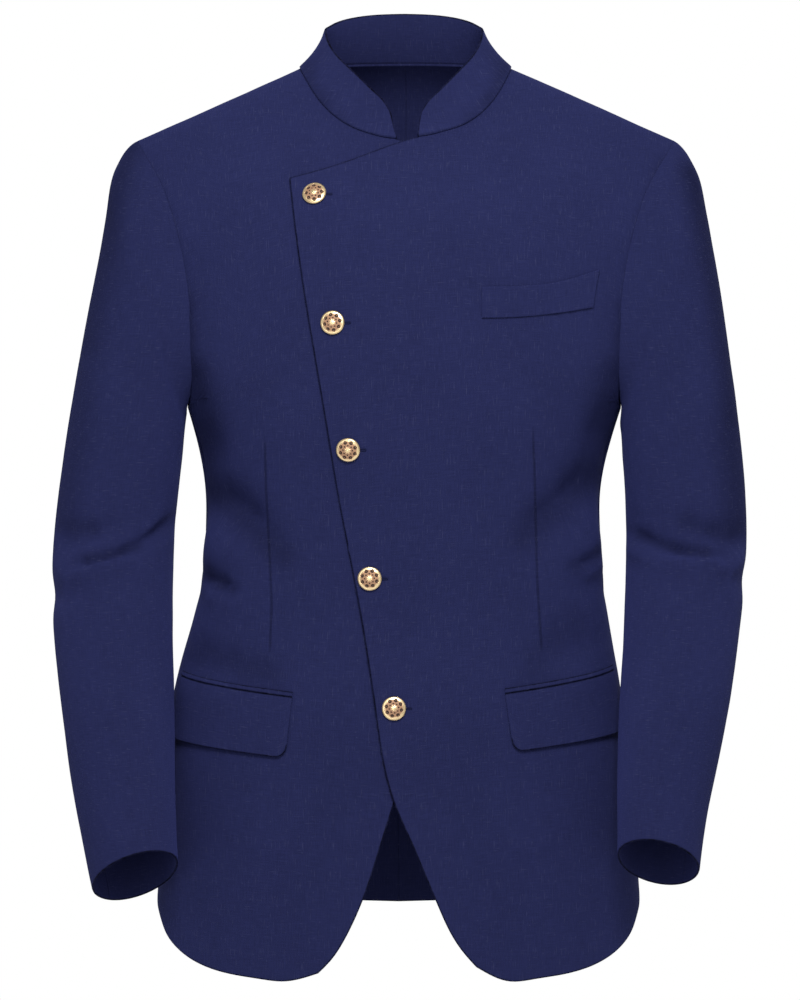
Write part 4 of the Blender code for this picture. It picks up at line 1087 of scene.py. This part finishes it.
def maths(tree, operation, *values):
    inputs = {f"i{k}": value for k, value in enumerate(values)}
    return node(tree, "Math", {"operation": operation}, **inputs).outputs[0]


def times(tree, a, b):
    return maths(tree, "MULTIPLY", a, b)


def summed(tree, total, *terms):
    """A total with each term's value times its share added to it."""
    for value, share in terms:
        total = maths(tree, "MULTIPLY_ADD", value, share, total)
    return total


def mixed(tree, share, a, b, blend="MIX"):
    settings = {"data_type": "RGBA", "blend_type": blend}
    return node(tree, "Mix", settings, i0=share, i6=a, i7=b).outputs[2]


def uv_parts(tree, name):
    """A UV map, and its u and v apart."""
    uv = node(tree, "UVMap", {"uv_map": name}).outputs[0]
    split = node(tree, "SeparateXYZ", Vector=uv).outputs
    return uv, split[0], split[1]


def stretched(tree, uv, size_u, size_v, detail, seed):
    """Noise whose grains are size_u by size_v metres."""
    scale, shift = (1 / size_u, 1 / size_v, 1), (seed, seed, 0)
    at = node(tree, "Mapping", Vector=uv, Scale=scale, Location=shift).outputs[0]
    flat = {"noise_dimensions": "2D"}
    return node(tree, "TexNoise", flat, Vector=at, Scale=1.0, Detail=detail, Roughness=0.5).outputs[0]


def remapped(tree, value, low, high, to_low=0.0, to_high=1.0, smooth=False):
    settings = {"interpolation_type": "SMOOTHSTEP" if smooth else "LINEAR"}
    names = {"Value": value, "From_Min": low, "From_Max": high, "To_Min": to_low, "To_Max": to_high}
    return node(tree, "MapRange", settings, **names).outputs[0]


def suiting(name, turned=False):
    """Navy plain weave with slubs. turned lays the stronger slubs across the piece, as on the sleeves."""
    material, tree, shader = new_material(name)
    uv, across, along = uv_parts(tree, "cut")
    waves = [maths(tree, "SINE", times(tree, place, math.tau / THREAD_PITCH)) for place in (across, along)]
    threads = times(tree, *waves)

    # Slubs and neps, the yarn's thick places, and the streaks of uneven yarn
    down = stretched(tree, uv, 0.0009, 0.012, 1.0, 3.1)
    over = stretched(tree, uv, 0.011, 0.0009, 1.0, 9.7)
    strong, weak = (over, down) if turned else (down, over)
    slubs = times(tree, remapped(tree, weak, 0.69, 0.86), 0.8)
    slubs = maths(tree, "MAXIMUM", remapped(tree, strong, 0.67, 0.84), slubs)
    nep_cells = node(tree, "TexVoronoi", {"voronoi_dimensions": "2D"}, Vector=uv, Scale=42.0)
    neps = remapped(tree, nep_cells.outputs["Distance"], 0.036, 0.014)
    slubs = maths(tree, "MAXIMUM", slubs, times(tree, neps, 0.7))
    fine_down = stretched(tree, uv, 0.00055, 0.015, 2.0, 5.3)
    fine_over = stretched(tree, uv, 0.015, 0.00055, 2.0, 1.9)
    streaks = remapped(tree, maths(tree, "ADD", fine_down, fine_over), 0.7, 1.3, -1.0, 1.0)
    cloudy = remapped(tree, stretched(tree, uv, 0.06, 0.08, 2.0, 2.7), 0.3, 0.7, -1.0, 1.0)

    # Darker lines: darts and seams, painted shade along free edges, and the overlap's painted shadow on the
    # front beneath it
    _, gap, share = uv_parts(tree, "dart")
    line = remapped(tree, maths(tree, "ABSOLUTE", gap), 0.0018, 0.0003, smooth=True)
    ends = times(tree, remapped(tree, share, 0.0, 0.04), remapped(tree, share, 1.0, 0.9))
    line = times(tree, ends, line)
    _, from_edge, from_seam = uv_parts(tree, "rim")
    # Painted shade along the free edges, of uneven depth
    edge_shade = remapped(tree, from_edge, EDGE_ROUNDING, 0.0003, smooth=True)
    sewn = remapped(tree, from_seam, SEAM_ROUNDING, 0.0002, smooth=True)
    uneven = remapped(tree, stretched(tree, uv, 0.01, 0.012, 1.0, 6.2), 0.3, 0.7, -0.62, -0.92)

    woven = (streaks, 0.13), (cloudy, 0.035), (threads, 0.1)
    bright = summed(tree, 1.0, *woven, (line, -0.36), (edge_shade, uneven), (sewn, -0.16))
    # Painted shade from the light map darkens the colour
    bright = times(tree, bright, uv_parts(tree, "light")[1])
    grey = node(tree, "CombineColor", Red=bright, Green=bright, Blue=bright).outputs[0]
    colour = mixed(tree, times(tree, slubs, 0.26), mixed(tree, 1.0, NAVY, grey, "MULTIPLY"), SLUB)
    height = summed(tree, 0.0, (threads, 0.00003), (streaks, 0.00004), (slubs, 0.00008), (line, -0.0004))
    bump = node(tree, "Bump", Strength=0.7, Distance=1.0, Height=height).outputs[0]
    put(tree, shader, Base_Color=colour, Normal=bump, Roughness=summed(tree, 0.9, (slubs, -0.12)))
    put(tree, shader, Diffuse_Roughness=0.7, Specular_IOR_Level=0.05)
    put(tree, shader, Sheen_Weight=0.05, Sheen_Roughness=0.45, Sheen_Tint=SHEEN)
    return material


def antique_gold(name):
    """Warm gilt, bright on raised parts and brown in the recesses. The relief UV map's u is the depth."""
    material, tree, shader = new_material(name)
    depth = uv_parts(tree, "relief")[1]
    place = node(tree, "TexCoord").outputs["Object"]
    speckle = node(tree, "TexNoise", Vector=place, Scale=1400.0, Detail=3.0).outputs[0]
    toned = summed(tree, depth, (maths(tree, "SUBTRACT", speckle, 0.5), 0.16))
    ramp = node(tree, "ValToRGB", Fac=toned)
    stops = ramp.color_ramp.elements
    for stop, (position, colour) in zip((stops[0], stops[1]), (GILT[0], GILT[-1])):
        stop.position, stop.color = position, colour
    stops.new(GILT[1][0]).color = GILT[1][1]
    bump = node(tree, "Bump", Strength=0.12, Distance=0.0002, Height=speckle).outputs[0]
    metal = remapped(tree, toned, 0.15, 0.6, 1.0, 0.1)
    rough = remapped(tree, toned, 0.1, 0.6, 0.3, 0.8)
    put(tree, shader, Base_Color=ramp.outputs[0], Metallic=metal, Roughness=rough, Normal=bump)
    return material


def thread_material():
    """Dark twisted thread for the buttonholes."""
    material, tree, shader = new_material("buttonhole_thread")
    twist = maths(tree, "SINE", times(tree, uv_parts(tree, "cut")[1], math.tau / TWIST_PITCH))
    colour = mixed(tree, remapped(tree, twist, -1.0, 1.0), *THREAD_COLOURS)
    bump = node(tree, "Bump", Strength=0.6, Distance=0.0002, Height=twist).outputs[0]
    put(tree, shader, Base_Color=colour, Normal=bump, Roughness=0.85, Specular_IOR_Level=0.05)
    return material


navy = suiting("navy_suiting")
navy_turned = suiting("navy_suiting_sleeve", turned=True)
gold = antique_gold("antique_gold")


def make_body():
    places, left_out = front_places(seen(OVERLAP_EDGE), seen(OVERLAP_TOP), COLLAR_ENDS["left"][0])
    lift = lap_lift(half_width(places[..., 1]) * np.sin(np.radians(places[..., 0])))
    made = {"front_left": body_panel("front_left", "front", 1, places, lift, left_out)}
    edge = seen(UNDERLAP_EDGE, hand=-1)
    places, left_out = front_places(edge, [edge[0], UNDERLAP_TOP_MIDDLE], COLLAR_ENDS["right"][0])
    made["front_right"] = body_panel("front_right", "front", -1, places, 0.0, left_out)
    places = back_places()
    for hand_name, hand in HANDS.items():
        made[f"back_{hand_name}"] = body_panel(f"back_{hand_name}", "back", hand, places, 0.0, None)
    return made


def make_sleeves():
    under = fine_steps(ARMHOLE_STEPS, 2 * ARMHOLE_STEPS - BACK_SEAM_STEP, 6)
    top = fine_steps(-BACK_SEAM_STEP, ARMHOLE_STEPS, 6)
    rows = fine_steps(0, SLEEVE_STEPS, 6)
    split = len(top) - 1
    for hand_name in HANDS:
        grids = sleeve_grid(hand_name, np.concatenate([top[:-1], under[:-1]]), rows)
        for name, chosen in (("top", slice(0, split + 1)), ("under", slice(split, None))):
            part, normal = (np.concatenate([grid, grid[:1]])[chosen] for grid in grids)
            around, along = lengths_along(part, 0), lengths_along(part, 1)
            flat = stacked(around - around[len(part) // 2], along[:, -1:] - along)
            weave = sleeve_weave(hand_name, part)
            # Painted shade along the sleeve's outer edges and at its elbow creases
            light = light_on(part, normal, SHADES[f"sleeve_{hand_name}"])
            seams = ("start", "end", "bottom")
            node_name = f"{name}_sleeve_{hand_name}"
            made = shell(node_name, part, normal, CLOTH, navy_turned, flat, weave, seams=seams, light=light)


def make_collar():
    """One standing band all round the neck, open in front with rounded corners."""
    shares = fine_steps(0, 10, 1, edge=(0.08, 0.22, 0.45)) / 10
    shares[0] = -COLLAR_TUCK
    outer = np.concatenate([collar_half("right", shares), collar_half("left", shares)[::-1][1:]])
    normal = grid_normals(outer, wrap=False)[0]
    turn = np.unwrap(np.arctan2(outer[..., 0], -outer[..., 1]), axis=0)
    weave = stacked(turn * NECK_HALF_WIDTH, outer[..., 2])
    line = stacked(shares * COLLAR_HEIGHT + 0 * turn, 0.5)
    # Painted shade at the collar's sides
    light = light_on(outer, -normal, SHADES["collar"])
    made = shell(
        "collar", outer, normal, COLLAR_CLOTH, navy, unrolled(outer), weave, rounding=COLLAR_ROUNDING,
        seams=("bottom",), dart=line, light=light
    )


def make_pockets():
    """The chest welt, and on each hip a flap with the narrow jet of the pocket's mouth above it."""
    across = fine_steps(0, 12, 3, edge=(0.03, 0.08, 0.16)) / 12
    up = fine_steps(0, 4, 3, edge=(0.03, 0.09, 0.18)) / 4
    bottom, top = (to_angles(through(seen(path))(across)) for path in (WELT_BOTTOM, WELT_TOP))
    places = bottom[:, None] + up[None, :, None] * (top - bottom)[:, None]
    all_round = ("start", "end", "bottom", "top")
    made = patch("chest_welt", 1, places, PATCH_GAP, WELT_CLOTH, navy, FLAP_ROUNDING, all_round)

    corner = np.array([0, 0.03, 0.09, 0.18, 0.30, 0.45, 0.62, 0.8, 1.0]) * FLAP_CORNER / FLAP_LENGTH
    shares = np.unique(np.concatenate([corner, np.linspace(corner[-1], 1, 32), [0.997, 0.99]]))[:, None]
    up = fine_steps(0, 12, 1, edge=(0.06, 0.17, 0.34)) / 12
    rise = fine_steps(0, 4, 1, edge=(0.12, 0.35)) / 4
    near = np.minimum(1.0, FLAP_LENGTH * shares / FLAP_CORNER)
    rounded = FLAP_CORNER * (1 - np.sqrt(1 - (1 - near) ** 2))
    jets = {}
    for hand_name, hand in HANDS.items():
        top_x, top_z, bottom_x, bottom_z, side_top_z, side_bottom_z = FLAPS[hand_name]
        front_top, front_bottom = to_angles(seen([(top_x, top_z), (bottom_x, bottom_z)], hand))
        high = front_top + shares * (np.array([FLAP_SIDE_ANGLE, side_top_z]) - front_top)
        low = front_bottom + shares * (np.array([FLAP_SIDE_ANGLE, side_bottom_z]) - front_bottom)
        low = low + rounded * np.array([0, 1])
        places = low[:, None] + up[:, None] * (high - low)[:, None]
        base = PATCH_GAP + FLAP_FLARE * (1 - up) ** 1.5
        pale = ("start", "end")
        name = f"pocket_flap_{hand_name}"
        made = patch(name, hand, places, base, FLAP_CLOTH, navy_turned, FLAP_ROUNDING, pale)
        places = (high + np.array([0.0, 0.0003]))[:, None] + rise[:, None] * np.array([0.0, JET_HEIGHT])
        name = f"pocket_jet_{hand_name}"
        jets[hand_name] = patch(name, hand, places, JET_LIFT, JET_CLOTH, navy_turned, JET_ROUNDING, pale)[0]
    return jets


def button_frame(place):
    """A matrix whose origin is on the overlapping front's face at place, with +Z straight out of it."""
    x, z = seen([place])[0]
    point, normal = torso_point("front", 1, angle_of(x, z), np.array(z), float(lap_lift(x)))
    point, normal = Vector(point), Vector(normal)
    across = Vector((0, 0, 1)).cross(normal).normalized()
    matrix = Matrix((across, normal.cross(across), normal)).transposed().to_4x4()
    matrix.translation = point
    return matrix


def disc(radius, limit, softness):
    """1 within a limit and 0 outside it, with a soft edge."""
    return 1 / (1 + np.exp((radius - limit) / softness))


def button_relief(radius, angle):
    """Height over the dome and how deep in a recess a place is. Radius is a share of the button's."""
    eighth = np.mod(angle + math.pi / 8, math.pi / 4) - math.pi / 8
    between = np.mod(angle, math.pi / 4) - math.pi / 8
    side, out = np.abs(radius * np.sin(eighth)), radius * np.cos(eighth)

    petal = (side / (0.182 - 0.55 * clamped(out - 0.64))) ** 2 + ((out - 0.66) / 0.165) ** 2
    recess = clamped(2.4 * (1 - petal))
    bead = bell(side, 0.042) * bell(out - 0.69, 0.045)
    dot = (radius * np.sin(between) / 0.078) ** 2 + ((radius * np.cos(between) - 0.4) / 0.078) ** 2
    inner_dot = (side / 0.045) ** 2 + ((out - 0.405) / 0.045) ** 2
    dots = np.maximum(clamped(2 * (1 - dot)), 0.7 * clamped(2 * (1 - inner_dot)))
    star = 0.045 * np.cos(8 * angle)
    middle = disc(radius, 0.215 + star, 0.016)
    field = disc(radius, 0.775 + star, 0.01)
    deep = np.maximum(0.44 * field * (1 - middle), np.maximum(recess * (1 - 0.7 * bead), dots))
    height = 0.00022 * middle + 0.00014 * bell(radius, 0.055) + 0.0003 * bell(radius - 0.915, 0.06)
    height = height - 0.00012 * field - 0.0004 * recess * (1 - bead) - 0.00028 * dots
    return height, clamped(deep)


def button_mesh():
    """A domed gilt button with a petalled ornament, its rim, back and shank."""
    around = BUTTON_SIDES
    angles = np.linspace(0, math.tau, around, endpoint=False)
    rings, marks = [], []
    for share in np.concatenate([np.linspace(0.01, 0.96, 54), [0.975, 0.99, 1.0]]):
        raised, deep = button_relief(np.full(around, share), angles)
        dome = BUTTON_STAND + BUTTON_RIM + BUTTON_DOME * (1 - share**2.2)
        rings.append((BUTTON_RADIUS * share, dome + raised * min(1.0, (1.0 - share) / 0.03)))
        marks.append(deep)
    for radius, height in BUTTON_BACK:
        rings.append((BUTTON_RADIUS * radius, np.full(around, BUTTON_STAND + height)))
        marks.append(np.full(around, 0.25))
    verts = [(0.0, 0.0, BUTTON_STAND + BUTTON_RIM + BUTTON_DOME + 0.00043)]
    for radius, levels in rings:
        verts += [(radius * math.cos(a), radius * math.sin(a), h) for a, h in zip(angles, levels)]
    verts.append((0.0, 0.0, BUTTON_STAND + BUTTON_BACK[-1][1]))
    last, end = len(verts) - 1, len(verts) - 1 - around
    pairs = [(k, (k + 1) % around) for k in range(around)]
    faces = [(0, 1 + k, 1 + m) for k, m in pairs]
    for a in range(1, end, around):
        faces += [(a + k, a + around + k, a + around + m, a + m) for k, m in pairs]
    faces += [(end + m, end + k, last) for k, m in pairs]
    deep = np.concatenate([[0.0], *marks, [0.25]])
    return smooth_mesh("button_cap", verts, faces, gold, relief=stacked(deep, deep))


def make_buttons():
    shape = button_mesh()
    for number, place in enumerate(BUTTON_PLACES, 1):
        piece = placed(f"gilt_button_{number}", shape.copy())
        piece.matrix_world = button_frame(place) @ Matrix.Rotation(0.11 * number, 4, "Z")
        dress(piece, f"button_{number}")


def make_buttonholes():
    """Stitched buttonholes: a low ring of thread round a slit, each running from under its button."""
    thread = thread_material()
    half = BUTTONHOLE_WIDTH / 2
    straight, arc = BUTTONHOLE_LENGTH - BUTTONHOLE_WIDTH, math.pi * half
    count, wide = BUTTONHOLE_SIDES, len(BUTTONHOLE_PROFILE)
    out, height = np.array(BUTTONHOLE_PROFILE).T
    s = (np.linspace(0, 1, count + 1)[:-1] * 2 * (straight + arc))[:, None]
    turn = (np.clip(s - straight, 0, arc) + np.clip(s - 2 * straight - arc, 0, arc)) / half
    along = np.clip(s, 0, straight) - np.clip(s - straight - arc, 0, straight)
    x, y = along + half * out * np.sin(turn), -half * out * np.cos(turn)
    local = stacked(x + half - BUTTONHOLE_BEHIND, y, height + 0.0001).reshape(-1, 3)
    flat = stacked(s, half * out).reshape(-1, 2)
    faces = []
    for k in range(count):
        a, b = k * wide, (k + 1) % count * wide
        faces += [(a + n, b + n, b + n + 1, a + n + 1) for n in range(wide - 1)]
    pieces = []
    for number, place in enumerate(BUTTON_PLACES, 1):
        frame_here = button_frame(place)
        verts = [tuple(frame_here @ Vector(p)) for p in local]
        name = f"buttonhole_{number}"
        piece = placed(name, smooth_mesh(name, verts, faces, thread, cut=flat))
        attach(piece, "root")
        pieces.append(piece)
    return pieces


def make_stage():
    """A plain pale floor, soft light from the front, and the camera."""
    floor_mesh = bpy.data.meshes.new("floor")
    turns = np.linspace(0, math.tau, 96, endpoint=False)
    ring = [(FLOOR_RADIUS * math.cos(a), FLOOR_RADIUS * math.sin(a), FLOOR_HEIGHT) for a in turns]
    floor_mesh.from_pydata(ring, [], [range(len(turns))])
    pale, tree, shader = new_material("pale_floor")
    put(tree, shader, Base_Color=(0.8, 0.8, 0.8, 1), Roughness=0.9)
    floor_mesh.materials.append(pale)
    placed("floor", floor_mesh)

    world = bpy.data.worlds.new("studio")
    bpy.context.scene.world = world
    world.use_nodes = True
    tree = world.node_tree
    tree.nodes.clear()
    fill = node(tree, "Background", Color=(0.94, 0.96, 1.0, 1), Strength=WORLD_FILL).outputs[0]
    white = node(tree, "Background", Color=(1, 1, 1, 1), Strength=1.0).outputs[0]
    seen_straight = node(tree, "LightPath").outputs["Is Camera Ray"]
    both = node(tree, "MixShader", i0=seen_straight, i1=fill, i2=white).outputs[0]
    node(tree, "OutputWorld", Surface=both)

    for name, place, size, power in LIGHTS:
        light = bpy.data.lights.new(name, "AREA")
        light.shape = "RECTANGLE"
        light.size, light.size_y = size
        light.energy = power
        lamp = placed(name, light)
        lamp.location = place
        lamp.rotation_euler = (Vector(LIGHT_AIM) - Vector(place)).to_track_quat("-Z", "Y").to_euler()

    camera = placed("camera", bpy.data.cameras.new("camera"))
    camera.data.sensor_fit = "VERTICAL"
    camera.data.sensor_height = 36
    camera.data.lens = CAMERA_LENS
    camera.data.clip_end = 100
    camera.location = CAMERA_PLACE
    camera.rotation_euler = (math.radians(90), 0, 0)
    bpy.context.scene.camera = camera
    bpy.context.scene.view_settings.view_transform = "Standard"


body = make_body()
make_sleeves()
make_collar()
jets = make_pockets()
make_buttons()
buttonholes = make_buttonholes()
make_stage()
